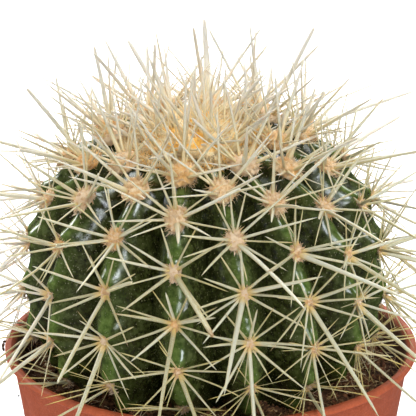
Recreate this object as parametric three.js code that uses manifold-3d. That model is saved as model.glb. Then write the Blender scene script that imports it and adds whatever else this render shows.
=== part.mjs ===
// A round ribbed cactus with straw spines, standing in brown peat in a thin moulded pot.
// Millimetres, +Z up. The origin is the centre of the pot's underside.
import * as THREE from 'three';
import { mergeVertices } from 'three/addons/utils/BufferGeometryUtils.js';
import Module from 'manifold-3d';

const wasm = await Module();
wasm.setup();

const DEGREE = Math.PI / 180;
const GAP = 0.3;

// Driving dimensions of the pot: a 120 mm nursery pot, its lip turned outwards.
const POT_HEIGHT = 95;
const RIM_RADIUS = 60;
const LIP_INNER_RADIUS = 58.2;
const LIP_HEIGHT = 2.2;
const LIP_EDGE = 0.5;
const LIP_STEP = 1.4;
const WALL_TOP_RADIUS = 57.9;
const WALL_TAPER = 0.17;
const WALL_THICKNESS = 1.1;
const BASE_THICKNESS = 1.8;
const BASE_EDGE = 1.5;
const POT_SIDES = 56;
const DRAIN_HOLES = 8;
const DRAIN_RADIUS = 4.5;
const DRAIN_SIDES = 14;
const DRAIN_RING_RADIUS = 29;

// Driving dimensions of the peat, which rises a little towards the plant.
const SOIL_DEPTH = 7.5;
const SOIL_RISE = 1.6;
const SOIL_RISE_FROM = 56;
const SOIL_RISE_TO = 38;
const SOIL_WAVE = 0.7;
const SOIL_LEVEL_FROM = 50;
const SOIL_RINGS = 6;
const POCKET_ROWS = 10;

// Driving dimensions of the green body, with heights measured from the pot's rim.
const BODY_RADIUS = 51.4;
const EQUATOR_HEIGHT = 17.2;
const DOME_HEIGHT = 49.4;
const DOME_POWER = 0.77;
const FOOT_DEPTH = 42.1;
const FOOT_POWER = 1.18;
const FOOT_ANGLE = -60 * DEGREE;
const LEAN_LEFT = 0.065;
const LEAN_FORWARD = 0.088;
const BODY_SHIFT = -0.3;
const MERIDIAN_STEPS = 400;

// Driving dimensions of the ribs. Distances along a rib are measured from the top of the dome.
const RIBS = 16;
const FIRST_RIB = 11.9 * DEGREE;
const RIB_SWAY = 2.3 * DEGREE;
const RIB_DEPTH = 9.5;
const RIB_START = 14;
const RIB_FULL = 44;
const RIB_FADE = 100;
const RIB_END = 126;
const CREST_HALF_WIDTH = 2;
const CREST_MOST_PART = 0.2;
const FLANK_PART = 0.3;

// Driving dimensions of the cushions that the spines grow from, raised out of each rib's crest.
const CUSHIONS_PER_RIB = 6;
const CUSHION_START = 24;
const CUSHION_STEP = 15.1;
const CUSHION_CLOSING = 0.15;
const CUSHION_OFFSET = 7.3;
const CUSHION_HALF_LENGTH = 2.6;
const CUSHION_RISE = 1.5;
const BETWEEN_CUSHIONS = 8;

// Driving dimensions of the crown, where the youngest cushions run together.
const CROWN_RADIUS = 14.6;
const CROWN_BRIM = 15.6;
const CROWN_SEAT = 2.2;
const CROWN_RISE = 3.6;
const CROWN_EDGE = 0.6;
const CROWN_ROWS = 4;
const CROWN_LOBES = 8;
const CROWN_LOBE_DEPTH = 0.04;
const GOLDEN_ANGLE = 137.508 * DEGREE;

// The crown's spines: how many, their size, the space each keeps from a side spine, and the tilt
// of a middle one and of one at the edge.
const CROWN_SPINES = 64;
const CROWN_SPINE_LENGTH = 19;
const CROWN_SPINE_STRAY = 4;
const CROWN_SPINE_HALF_WIDTH = 0.55;
const CROWN_SPINE_ROOT = 1.6;
const CROWN_SPINE_SPACE = 2.4;
const CROWN_TILT_MIDDLE = 6;
const CROWN_TILT_EDGE = 40;

// The long spines of a side cushion, which the small ones stand between: turn round the cushion
// from its right, lift off the skin, length, half width, how far the turn strays by chance, and
// how much longer the spine is on a young cushion.
const LONG_SPINES = [
  { turn: -90, lift: 48, length: 38, halfWidth: 0.85, stray: 45, whenYoung: -13 },
  { turn: 8, lift: 40, length: 22, halfWidth: 0.65, stray: 20, whenYoung: 6 },
  { turn: 174, lift: 40, length: 22, halfWidth: 0.65, stray: 20, whenYoung: 6 },
  { turn: 90, lift: 46, length: 18, halfWidth: 0.55, stray: 16, whenYoung: 9 },
  { turn: -40, lift: 30, length: 18, halfWidth: 0.5, stray: 10, whenYoung: 4 },
  { turn: -140, lift: 30, length: 18, halfWidth: 0.5, stray: 10, whenYoung: 4 },
];
const SPINE_ROOT = 2.6;
const ROOT_SPREAD = 0.7;
const LIFT_STRAY = 8;
const LENGTH_STRAY = 0.12;
const SPINE_CLEARANCE = 1.5;

// Cushions nearer the top than this are young. Their spines stand up more, and are more alike.
const YOUNG_FROM = 48;
const YOUNG_TO = 25;
const YOUNG_LIFT = 14;

// A fixed chance: the same number between 0 and 1 for the same counts.
const SEED = 342.54;

function chance(first, second, third) {
  const wave = Math.sin(first * 12.9898 + second * 78.233 + third * 37.719 + SEED) * 43758.5453;
  return wave - Math.floor(wave);
}

// A chance between -1 and 1.
function sway(first, second, third) {
  return 2 * chance(first, second, third) - 1;
}

function smoothStep(low, high, value) {
  const part = Math.min(Math.max((value - low) / (high - low), 0), 1);
  return part * part * (3 - 2 * part);
}

// Closed solid from a geometry, with its faces turned outwards.
function solid(geometry) {
  const bare = geometry.clone();
  bare.deleteAttribute('normal');
  bare.deleteAttribute('uv');
  const merged = mergeVertices(bare, 1e-4);
  const triVerts = new Uint32Array(merged.index.array);
  const vertProperties = new Float32Array(merged.attributes.position.array);
  const made = new wasm.Manifold(new wasm.Mesh({ numProp: 3, vertProperties, triVerts }));
  if (made.volume() > 0) return made;
  for (let i = 0; i < triVerts.length; i += 3) {
    [triVerts[i + 1], triVerts[i + 2]] = [triVerts[i + 2], triVerts[i + 1]];
  }
  return new wasm.Manifold(new wasm.Mesh({ numProp: 3, vertProperties, triVerts }));
}

// Joins solids two by two, so that each round halves the list.
function joinAll(solids) {
  let round = solids;
  while (round.length > 1) {
    const next = [];
    for (let i = 0; i < round.length; i += 2) {
      next.push(i + 1 < round.length ? round[i].add(round[i + 1]) : round[i]);
    }
    round = next;
  }
  return round[0];
}

// The largest piece of a joined solid. It leaves out any tiny hollow that crossing needles sealed.
function largestPiece(shape) {
  return shape.decompose().sort((a, b) => b.volume() - a.volume())[0];
}

function nodeMesh(name, shape, material) {
  const data = shape.getMesh();
  const geometry = new THREE.BufferGeometry();
  geometry.setAttribute('position', new THREE.BufferAttribute(data.vertProperties, 3));
  geometry.setIndex(new THREE.BufferAttribute(data.triVerts, 1));
  geometry.computeVertexNormals();
  const mesh = new THREE.Mesh(geometry, material);
  mesh.name = name;
  return mesh;
}

// Turns a profile of [radius, height] pairs about the upright axis.
function turned(profile, sides) {
  const points = profile.map(([radius, height]) => new THREE.Vector2(radius, height));
  return new THREE.LatheGeometry(points, sides).rotateX(Math.PI / 2);
}

// The pot: flat base with drain holes, tapering wall, and the lip that stands out round the rim.
function wallRadius(height) {
  return WALL_TOP_RADIUS - WALL_TAPER * (POT_HEIGHT - LIP_HEIGHT - height);
}

function potSolid() {
  const lipFoot = POT_HEIGHT - LIP_HEIGHT;
  const inside = (height) => wallRadius(height) - WALL_THICKNESS;
  const shell = solid(turned([
    [0, 0],
    [wallRadius(0) - BASE_EDGE, 0],
    [wallRadius(BASE_EDGE), BASE_EDGE],
    [WALL_TOP_RADIUS, lipFoot],
    [RIM_RADIUS - LIP_EDGE, lipFoot],
    [RIM_RADIUS, lipFoot + LIP_EDGE],
    [RIM_RADIUS, POT_HEIGHT - LIP_EDGE],
    [RIM_RADIUS - LIP_EDGE, POT_HEIGHT],
    [LIP_INNER_RADIUS, POT_HEIGHT],
    [inside(lipFoot), POT_HEIGHT - LIP_STEP],
    [inside(lipFoot), lipFoot],
    [inside(BASE_THICKNESS + BASE_EDGE), BASE_THICKNESS + BASE_EDGE],
    [inside(BASE_THICKNESS) - BASE_EDGE, BASE_THICKNESS],
    [0, BASE_THICKNESS],
  ], POT_SIDES));
  const drains = [];
  for (let i = 0; i < DRAIN_HOLES; i += 1) {
    const angle = (i * 2 * Math.PI) / DRAIN_HOLES;
    const plug = new THREE.CylinderGeometry(DRAIN_RADIUS, DRAIN_RADIUS, 4 * BASE_THICKNESS, DRAIN_SIDES);
    plug.rotateX(Math.PI / 2);
    plug.translate(DRAIN_RING_RADIUS * Math.cos(angle), DRAIN_RING_RADIUS * Math.sin(angle), 0);
    drains.push(solid(plug));
  }
  return shell.subtract(joinAll(drains));
}

// One meridian of the dome along a rib's crest, as rows of distance, radius and height.
function crestMeridian() {
  const rows = [];
  let along = 0;
  for (let i = 0; i <= MERIDIAN_STEPS; i += 1) {
    const angle = Math.PI / 2 + ((FOOT_ANGLE - Math.PI / 2) * i) / MERIDIAN_STEPS;
    const power = angle > 0 ? DOME_POWER : FOOT_POWER;
    const reach = angle > 0 ? DOME_HEIGHT : FOOT_DEPTH;
    const rise = Math.sign(angle) * Math.abs(Math.sin(angle)) ** power;
    const radius = BODY_RADIUS * Math.abs(Math.cos(angle)) ** power;
    const height = EQUATOR_HEIGHT + reach * rise;
    const last = rows[rows.length - 1];
    if (last) along += Math.hypot(radius - last.radius, height - last.height);
    rows.push({ along, radius, height });
  }
  return rows;
}

const MERIDIAN = crestMeridian();
const FOOT_END = MERIDIAN[MERIDIAN_STEPS].along;

// Radius, height and outward slope of the crest at a distance from the top of the dome.
function crestAt(along) {
  const found = MERIDIAN.findIndex((row) => row.along >= along);
  const index = Math.max(found, 1);
  const [a, b] = [MERIDIAN[index - 1], MERIDIAN[index]];
  const part = (along - a.along) / (b.along - a.along);
  const span = Math.hypot(b.radius - a.radius, b.height - a.height);
  return {
    radius: a.radius + (b.radius - a.radius) * part,
    height: a.height + (b.height - a.height) * part,
    outRadius: (a.height - b.height) / span,
    outHeight: (b.radius - a.radius) / span,
  };
}

// Ribs crowd a little towards the two sides, as they do on a plant that grew to one window.
function ribAzimuth(ribs) {
  const even = FIRST_RIB + (ribs * 2 * Math.PI) / RIBS;
  return even + RIB_SWAY * Math.cos(2 * even);
}

function ribDepth(along) {
  return RIB_DEPTH * smoothStep(RIB_START, RIB_FULL, along) * (1 - smoothStep(RIB_FADE, RIB_END, along));
}

function onAzimuth(radius, azimuth, height) {
  return new THREE.Vector3(radius * Math.sin(azimuth), -radius * Math.cos(azimuth), height);
}

// Every other rib starts about half a step later, and its last cushion is under the peat.
function cushionCount(rib) {
  return rib % 2 ? CUSHIONS_PER_RIB : CUSHIONS_PER_RIB - 1;
}

// Distance along a rib of one of its cushions.
function cushionAlong(rib, row) {
  const start = CUSHION_START + (rib % 2 ? 0 : CUSHION_OFFSET);
  return start + CUSHION_STEP * row - CUSHION_CLOSING * row * row;
}

// The rows of the body from foot to crown. Each has a distance, whether it follows the cushions
// of its rib up and down, and the cushion that raises it on the crest. The last two are the wall
// and the floor of the crown's seat.
function bodyRows() {
  const rows = [
    { along: CROWN_BRIM, follows: 0, radiusPart: 0, drop: CROWN_SEAT },
    { along: CROWN_BRIM, follows: 0, radiusPart: 1, drop: CROWN_SEAT },
    { along: CROWN_BRIM, follows: 0 },
  ];
  for (let row = 0; row < CUSHIONS_PER_RIB; row += 1) {
    const middle = cushionAlong(1, row);
    rows.push({ along: middle - CUSHION_HALF_LENGTH, follows: 1, raisedBy: row });
    rows.push({ along: middle + CUSHION_HALF_LENGTH, follows: 1, raisedBy: row });
    rows.push({ along: middle + BETWEEN_CUSHIONS, follows: 1 });
  }
  rows.push({ along: (RIB_END + rows[rows.length - 1].along) / 2, follows: 0 });
  rows.push({ along: FOOT_END, follows: 0 });
  rows.push({ along: FOOT_END, follows: 0, radiusPart: 0, drop: 0 });
  return rows.reverse();
}

// The columns of one rib: its groove, a flank, the two edges of its crest, and the other flank.
const RIB_COLUMNS = [
  { part: -0.5 },
  { part: -FLANK_PART },
  { crestEdge: -1 },
  { crestEdge: 1 },
  { part: FLANK_PART },
];

// How far a column stands from its rib's middle, in parts of the ribs' pitch.
function columnPart(column, radius) {
  if (!column.crestEdge) return column.part;
  const pitch = (2 * Math.PI * radius) / RIBS;
  return column.crestEdge * Math.min(CREST_HALF_WIDTH / pitch, CREST_MOST_PART);
}

// One point of the body's grid. Columns sink between the ribs by a cosine, and rows step up and
// down from rib to rib with the cushions.
function bodyPoint(row, rib, column) {
  const own = rib % 2 ? 0 : CUSHION_OFFSET;
  const shift = row.follows * (column.part === -0.5 ? CUSHION_OFFSET / 2 : own);
  const crest = crestAt(row.along + shift);
  const part = columnPart(column, crest.radius);
  if ('drop' in row) {
    return onAzimuth(crest.radius * row.radiusPart, ribAzimuth(rib + part), crest.height - row.drop);
  }
  const raised = column.crestEdge && row.raisedBy < cushionCount(rib);
  const sink = ribDepth(row.along + shift) * (1 - Math.cos(part * Math.PI));
  const rise = (raised ? CUSHION_RISE : 0) - sink;
  const radius = crest.radius + rise * crest.outRadius;
  return onAzimuth(radius, ribAzimuth(rib + part), crest.height + rise * crest.outHeight);
}

function bodySolid() {
  const rows = bodyRows();
  const columns = RIBS * RIB_COLUMNS.length;
  const geometry = turned(rows.map((row) => [1, row.along]), columns);
  const position = geometry.attributes.position;
  for (let i = 0; i < position.count; i += 1) {
    const place = Math.floor(i / rows.length) % columns;
    const rib = Math.floor(place / RIB_COLUMNS.length);
    const column = RIB_COLUMNS[place % RIB_COLUMNS.length];
    const point = bodyPoint(rows[i % rows.length], rib, column);
    position.setXYZ(i, point.x, point.y, point.z);
  }
  return solid(geometry);
}

// Every cushion's place, with its outward, upward and rightward directions on the skin.
function cushionFrames() {
  const frames = [];
  for (let rib = 0; rib < RIBS; rib += 1) {
    for (let row = 0; row < cushionCount(rib); row += 1) {
      const along = cushionAlong(rib, row);
      const crest = crestAt(along);
      const azimuth = ribAzimuth(rib);
      const out = onAzimuth(crest.outRadius, azimuth, crest.outHeight).normalize();
      const right = new THREE.Vector3(Math.cos(azimuth), Math.sin(azimuth), 0);
      const up = new THREE.Vector3().crossVectors(out, right).normalize();
      const place = onAzimuth(crest.radius, azimuth, crest.height).addScaledVector(out, CUSHION_RISE);
      frames.push({ rib, row, along, place, out, up, right });
    }
  }
  return frames;
}

// A spine is a three-sided needle, straight from its root to its tip.
function needle(spine, sunk) {
  const geometry = turned([[0, -sunk], [spine.halfWidth, -sunk], [0, spine.length]], 3);
  const turn = new THREE.Quaternion().setFromUnitVectors(new THREE.Vector3(0, 0, 1), spine.way);
  geometry.applyQuaternion(turn);
  geometry.translate(spine.root.x, spine.root.y, spine.root.z);
  return solid(geometry);
}

// The plant leans a little to the left and forwards, about the centre of the pot's rim.
const plant = new THREE.Group();
plant.position.set(BODY_SHIFT, 0, POT_HEIGHT);
plant.rotation.set(LEAN_FORWARD, -LEAN_LEFT, 0);
plant.updateMatrixWorld(true);

// True where a point of a spine would touch the peat or the pot's lip.
function touchesPot(point) {
  const inPot = point.clone().applyMatrix4(plant.matrixWorld);
  const radius = Math.hypot(inPot.x, inPot.y);
  if (radius > RIM_RADIUS + SPINE_CLEARANCE) return false;
  if (radius > LIP_INNER_RADIUS - 2 * SPINE_CLEARANCE) return inPot.z < POT_HEIGHT + SPINE_CLEARANCE;
  const peatTop = POT_HEIGHT - SOIL_DEPTH + SOIL_RISE + 1.5 * SOIL_WAVE;
  return inPot.z < peatTop + SPINE_CLEARANCE;
}

function isClear(root, way, length) {
  const steps = 20;
  for (let i = 1; i <= steps; i += 1) {
    if (touchesPot(root.clone().addScaledVector(way, (length * i) / steps))) return false;
  }
  return true;
}

// Lifts a spine a few degrees at a time until its whole length is clear of peat and pot.
function liftedClear(root, direction, length) {
  if (isClear(root, direction, length)) return direction;
  const outward = new THREE.Vector3(root.x, root.y, 0).normalize();
  const level = new THREE.Vector3(direction.x, direction.y, 0);
  level.addScaledVector(outward, 0.4).normalize();
  let slope = Math.asin(direction.z);
  const way = new THREE.Vector3();
  do {
    slope += 4 * DEGREE;
    way.copy(level).multiplyScalar(Math.cos(slope));
    way.z = Math.sin(slope);
  } while (slope < 80 * DEGREE && !isClear(root, way, length));
  return way;
}

// The long spines of every side cushion.
function sideSpines(frames) {
  const spines = [];
  for (const frame of frames) {
    const young = 1 - smoothStep(YOUNG_TO, YOUNG_FROM, frame.along);
    LONG_SPINES.forEach((spine, index) => {
      const draw = (which) => sway(frame.rib, frame.row, index * 3 + which);
      const turn = (spine.turn + spine.stray * draw(0)) * DEGREE;
      const lift = (spine.lift + LIFT_STRAY * draw(1) + YOUNG_LIFT * young) * DEGREE;
      const length = spine.length * (1 + LENGTH_STRAY * draw(2)) + spine.whenYoung * young;
      const direction = frame.right.clone().multiplyScalar(Math.cos(lift) * Math.cos(turn));
      direction.addScaledVector(frame.up, Math.cos(lift) * Math.sin(turn));
      direction.addScaledVector(frame.out, Math.sin(lift)).normalize();
      const root = frame.place.clone();
      root.addScaledVector(frame.right, ROOT_SPREAD * CREST_HALF_WIDTH * Math.cos(turn));
      root.addScaledVector(frame.up, ROOT_SPREAD * CUSHION_HALF_LENGTH * Math.sin(turn));
      const way = liftedClear(root, direction, length);
      spines.push({ root, way, length, halfWidth: spine.halfWidth });
    });
  }
  return spines;
}

// Least distance between two straight spines, from samples along the first.
function spineDistance(a, b) {
  const steps = 24;
  const line = new THREE.Line3(b.root, b.root.clone().addScaledVector(b.way, b.length));
  const nearest = new THREE.Vector3();
  let least = Infinity;
  for (let i = 0; i <= steps; i += 1) {
    const point = a.root.clone().addScaledVector(a.way, (a.length * i) / steps);
    line.closestPointToPoint(point, true, nearest);
    least = Math.min(least, nearest.distanceTo(point));
  }
  return least;
}

// One spine of the crown, in a sunflower spiral. The turn chooses its tilt and heading by chance.
function crownSpine(index, turn, top) {
  const radius = (CROWN_RADIUS - CROWN_SPINE_ROOT) * Math.sqrt((index + 0.5) / CROWN_SPINES);
  const azimuth = index * GOLDEN_ANGLE;
  const spread = (CROWN_TILT_EDGE - CROWN_TILT_MIDDLE) * (radius / CROWN_RADIUS) ** 1.5;
  const tilt = (CROWN_TILT_MIDDLE + spread + 9 * sway(index, turn, 5)) * DEGREE;
  const heading = azimuth + 0.5 * sway(index, turn, 7);
  return {
    root: onAzimuth(radius, azimuth, top),
    way: onAzimuth(Math.sin(tilt), heading, Math.cos(tilt)),
    length: CROWN_SPINE_LENGTH + CROWN_SPINE_STRAY * sway(index, 1, 2),
    halfWidth: CROWN_SPINE_HALF_WIDTH,
  };
}

// The crown's spines, each turned until it clears the side spines. One that can't is left out.
function crownSpines(others, top) {
  const turns = 60;
  const spines = [];
  for (let i = 0; i < CROWN_SPINES; i += 1) {
    for (let turn = 0; turn < turns; turn += 1) {
      const spine = crownSpine(i, turn, top);
      if (others.every((other) => spineDistance(spine, other) > CROWN_SPINE_SPACE)) {
        spines.push(spine);
        break;
      }
    }
  }
  return spines;
}

// The crown's wool: a low lobed dome that fills the seat in the top of the body.
function crownSolid(others) {
  const brim = crestAt(CROWN_BRIM).height;
  const foot = brim - CROWN_SEAT + GAP;
  const profile = [[0, foot]];
  profile.push([CROWN_RADIUS, foot]);
  for (let i = 0; i < CROWN_ROWS; i += 1) {
    const angle = (i * Math.PI) / (2 * CROWN_ROWS);
    const height = brim + CROWN_EDGE + (CROWN_RISE - CROWN_EDGE) * Math.sin(angle);
    profile.push([CROWN_RADIUS * Math.cos(angle), height]);
  }
  profile.push([0, brim + CROWN_RISE]);
  const dome = turned(profile, 5 * CROWN_LOBES);
  const position = dome.attributes.position;
  for (let i = 0; i < position.count; i += 1) {
    const azimuth = Math.atan2(position.getX(i), -position.getY(i));
    const lobe = 1 - CROWN_LOBE_DEPTH * (1 - Math.cos(CROWN_LOBES * (azimuth - FIRST_RIB)));
    position.setX(i, position.getX(i) * lobe);
    position.setY(i, position.getY(i) * lobe);
  }
  const spines = crownSpines(others, brim + CROWN_RISE / 2);
  const needles = spines.map((spine) => needle(spine, CROWN_SPINE_ROOT));
  return largestPiece(joinAll([solid(dome), ...needles]));
}

// Height of the peat's uneven top.
function peatTop(x, y) {
  const radius = Math.hypot(x, y);
  const rise = SOIL_RISE * (1 - smoothStep(SOIL_RISE_TO, SOIL_RISE_FROM, radius));
  const calm = 1 - smoothStep(SOIL_LEVEL_FROM, SOIL_RISE_FROM, radius);
  const wave = Math.sin(0.31 * x + 1.7) * Math.cos(0.27 * y - 0.6) + 0.5 * Math.sin(0.5 * (x + y));
  return POT_HEIGHT - SOIL_DEPTH + rise + SOIL_WAVE * calm * wave;
}

// The peat: its top, sides along the pot's wall, and a plain pocket for the plant.
function soilSolid() {
  const top = POT_HEIGHT - SOIL_DEPTH;
  const inside = (height) => wallRadius(height) - WALL_THICKNESS - GAP;
  const foot = BASE_THICKNESS + GAP;
  const profile = [
    [0, foot],
    [inside(foot) - BASE_EDGE - GAP, foot],
    [inside(foot + BASE_EDGE), foot + BASE_EDGE],
  ];
  const sides = profile.length;
  for (let i = 0; i <= SOIL_RINGS; i += 1) {
    profile.push([inside(top) * (1 - i / SOIL_RINGS), top]);
  }
  const geometry = turned(profile, POT_SIDES);
  const position = geometry.attributes.position;
  for (let i = 0; i < position.count; i += 1) {
    if (i % profile.length < sides) continue;
    position.setZ(i, peatTop(position.getX(i), position.getY(i)));
  }
  return solid(geometry).subtract(pocketSolid());
}

// The pocket clears the ribs' crests all round and the buried foot underneath.
function pocketSolid() {
  const profile = [[0, crestAt(FOOT_END).height - GAP]];
  for (let i = 0; i <= POCKET_ROWS; i += 1) {
    const crest = crestAt(FOOT_END - (i * (FOOT_END - RIB_FADE)) / POCKET_ROWS);
    profile.push([crest.radius + 1.5 * GAP, crest.height - (i ? 0 : GAP)]);
  }
  profile.push([0, profile[profile.length - 1][1]]);
  return solid(turned(profile, POT_SIDES).applyMatrix4(plant.matrixWorld));
}

const potPlastic = new THREE.MeshStandardMaterial({ color: 0xb4553a, roughness: 0.6, metalness: 0 });
const peat = new THREE.MeshStandardMaterial({ color: 0x3a2418, roughness: 1, metalness: 0 });
const greenSkin = new THREE.MeshStandardMaterial({ color: 0x2f4a26, roughness: 0.45, metalness: 0 });
const crownWool = new THREE.MeshStandardMaterial({ color: 0xd6ad74, roughness: 0.95, metalness: 0 });

const side = sideSpines(cushionFrames());
const needles = side.map((spine) => needle(spine, SPINE_ROOT));
const cactus = largestPiece(joinAll([bodySolid(), ...needles]));

plant.add(nodeMesh('cactus', cactus, greenSkin));
plant.add(nodeMesh('crown_wool', crownSolid(side), crownWool));

const pottedCactus = new THREE.Group();
pottedCactus.add(nodeMesh('pot', potSolid(), potPlastic));
pottedCactus.add(nodeMesh('soil', soilSolid(), peat));
pottedCactus.add(plant);

export default pottedCactus;
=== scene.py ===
# %% [markdown]
# # A potted round cactus
# The real plant is a ribbed green ball in a thin terracotta-red plastic pot. Rows of woolly cushions sit on
# its ribs, and every cushion carries a star of straw-coloured spines. The imported CAD model is the frame: it
# gives the pot, the peat, the ribs and the places of the cushions, and every piece here is fitted to it.

import bpy
import numpy as np
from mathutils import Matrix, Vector


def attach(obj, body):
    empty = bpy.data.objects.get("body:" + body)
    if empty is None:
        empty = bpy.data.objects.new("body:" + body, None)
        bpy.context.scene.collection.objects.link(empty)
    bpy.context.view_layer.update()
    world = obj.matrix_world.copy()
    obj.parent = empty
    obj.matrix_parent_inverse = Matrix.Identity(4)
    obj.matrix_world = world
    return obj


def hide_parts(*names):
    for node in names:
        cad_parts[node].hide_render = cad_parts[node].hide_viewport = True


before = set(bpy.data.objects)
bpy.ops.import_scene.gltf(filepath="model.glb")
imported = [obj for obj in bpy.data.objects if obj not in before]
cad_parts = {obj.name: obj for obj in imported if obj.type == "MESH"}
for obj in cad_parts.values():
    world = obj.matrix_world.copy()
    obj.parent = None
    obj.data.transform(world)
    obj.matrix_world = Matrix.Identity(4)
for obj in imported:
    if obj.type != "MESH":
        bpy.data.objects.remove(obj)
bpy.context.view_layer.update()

MM = 0.001

# %% [markdown]
# ## The camera
# The photograph looks down on the pot by about twenty degrees from far away, so the rim is a flat oval and
# nothing is distorted. A long lens at more than a metre gives that look. The angle, the distance and the
# aim were fitted to the pot's rim and to the cushions on eight ribs.

# %% Camera
CAMERA_ELEVATION = np.radians(20.36)
CAMERA_DISTANCE = 1.2
AIM = Vector((-0.00079, 0, 0.13676))
sight = bpy.data.cameras.new("sight")
sight.lens, sight.sensor_width = 360, 36
sight.clip_start, sight.clip_end = 0.05, 30
camera = bpy.data.objects.new("camera", sight)
back = Vector((0, -np.cos(CAMERA_ELEVATION), np.sin(CAMERA_ELEVATION)))
camera.location = AIM + CAMERA_DISTANCE * back
camera.rotation_euler = (np.pi / 2 - CAMERA_ELEVATION, 0, 0)
bpy.context.scene.collection.objects.link(camera)
bpy.context.scene.camera = camera
print("camera at", [round(v, 3) for v in camera.location])

# %% [markdown]
# ## Studio light
# The plant was photographed in soft light on white. Area lights work as softboxes, and each has one task,
# as a photographer shades a lamp with cards. Some only light the colours, and others are only seen in the
# wax, where they make the pale patches.

# %% Studio light
def softbox(name, place, size, watts, colour=(1, 1, 1), aim=(0, 0, 0.12), lights=True, mirrored=True):
    """A square area light at a place, turned to face the plant or another aim. It can be kept from lighting
    the colours or from being mirrored in glossy surfaces."""
    lamp = bpy.data.lights.new(name, "AREA")
    lamp.size, lamp.energy, lamp.color = size, watts, colour
    holder = bpy.data.objects.new(name, lamp)
    holder.location = place
    holder.visible_diffuse, holder.visible_glossy = lights, mirrored
    holder.rotation_euler = (Vector(aim) - Vector(place)).to_track_quat("-Z", "Y").to_euler()
    bpy.context.scene.collection.objects.link(holder)


softbox("key_softbox", (0.35, -0.8, 1.15), 0.5, 13, (0.95, 0.98, 1.0), mirrored=False)
softbox("left_fill", (-1.3, -0.4, 0.7), 1.2, 6, (0.97, 0.98, 1.0), mirrored=False)
softbox("front_fill", (0.1, -1.3, 0.45), 0.6, 3, (0.97, 0.98, 1.0), mirrored=False)
softbox("right_softbox", (1.3, -0.5, 0.6), 0.35, 4.2, (0.94, 0.97, 1.0))
softbox("left_back_softbox", (-1.1, 0.8, 0.8), 0.6, 16)
softbox("right_back_softbox", (0.9, 1.0, 0.9), 0.6, 7)
softbox("backdrop_light", (0, 0.9, 1.0), 0.8, 22, aim=(0, 0.6, 0))
softbox("window", (0.36, -0.8, 1.05), 0.5, 15, (0.88, 0.95, 1.0), lights=False)
softbox("low_window", (0.5, -1.2, 0.5), 0.35, 6, (0.88, 0.95, 1.0), lights=False)
print("nine softboxes stand round the plant")

# %% [markdown]
# ## World and floor
# A picture taken on white has no horizon. A wide pale floor and a dim white world give that, and the Standard
# view keeps white as white. The floor is bright, so it is not mirrored in the skin, where it would turn the
# dark flanks grey.

# %% World and floor
WORLD_STRENGTH = 0.08
FLOOR_HALF = 6.0
FLOOR_WHITE = (0.93, 0.93, 0.93, 1)
world = bpy.data.worlds.new("studio")
bpy.context.scene.world = world
world.use_nodes = True
surroundings = world.node_tree.nodes["Background"]
surroundings.inputs["Color"].default_value = (1, 1, 1, 1)
surroundings.inputs["Strength"].default_value = WORLD_STRENGTH
bpy.context.scene.view_settings.view_transform = "Standard"

floor_corners = [(FLOOR_HALF * x, FLOOR_HALF * y, 0) for x, y in ((-1, -1), (1, -1), (1, 1), (-1, 1))]
floor_mesh = bpy.data.meshes.new("floor")
floor_mesh.from_pydata(floor_corners, [], [(0, 1, 2, 3)])
floor = bpy.data.objects.new("floor", floor_mesh)
bpy.context.scene.collection.objects.link(floor)
floor.visible_glossy = False
floor_paint = bpy.data.materials.new("floor_paint")
floor_paint.use_nodes = True
floor_shader = floor_paint.node_tree.nodes["Principled BSDF"]
floor_shader.inputs["Base Color"].default_value = FLOOR_WHITE
floor_shader.inputs["Roughness"].default_value = 0.9
floor_mesh.materials.append(floor_paint)
print("a dim world and a floor", 2 * FLOOR_HALF, "m wide")

# %% [markdown]
# ## Meshes from whole arrays
# Nearly everything on this plant is a tube that closes at both ends: a spine, a thread of wool, a crumb of
# peat, and even the green body. So one helper numbers the faces of a closed tube, and another carries an
# oval profile along many paths at once. Numpy does this for all the points together, which is much faster
# than adding points one by one, and foreach_set hands them to Blender in one go.

# %% Closed tubes
def tube_faces(rings, sides):
    """Faces of a closed tube: quads between neighbouring rings, and a fan of triangles at each end.
    Point 0 is the first end, the rings follow, and the last point is the other end."""
    ring = 1 + np.arange(rings * sides).reshape(rings, sides)
    after = np.roll(ring, -1, axis=1)
    quads = np.stack([ring[:-1], after[:-1], after[1:], ring[1:]], axis=-1).reshape(-1, 4)
    first = np.stack([np.zeros(sides, int), after[0], ring[0]], axis=-1)
    last = np.stack([np.full(sides, rings * sides + 1), ring[-1], after[-1]], axis=-1)
    return quads, np.concatenate([first, last])


def inside_out(points, quads, triangles):
    """True where the faces enclose a volume below zero, summed over tetrahedra from the origin."""
    corners = np.concatenate([quads[:, [0, 1, 2]], quads[:, [0, 2, 3]], triangles])
    a, b, c = (points[corners[:, i]] for i in range(3))
    return np.einsum("ij,ij->i", a, np.cross(b, c)).sum() < 0


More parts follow.
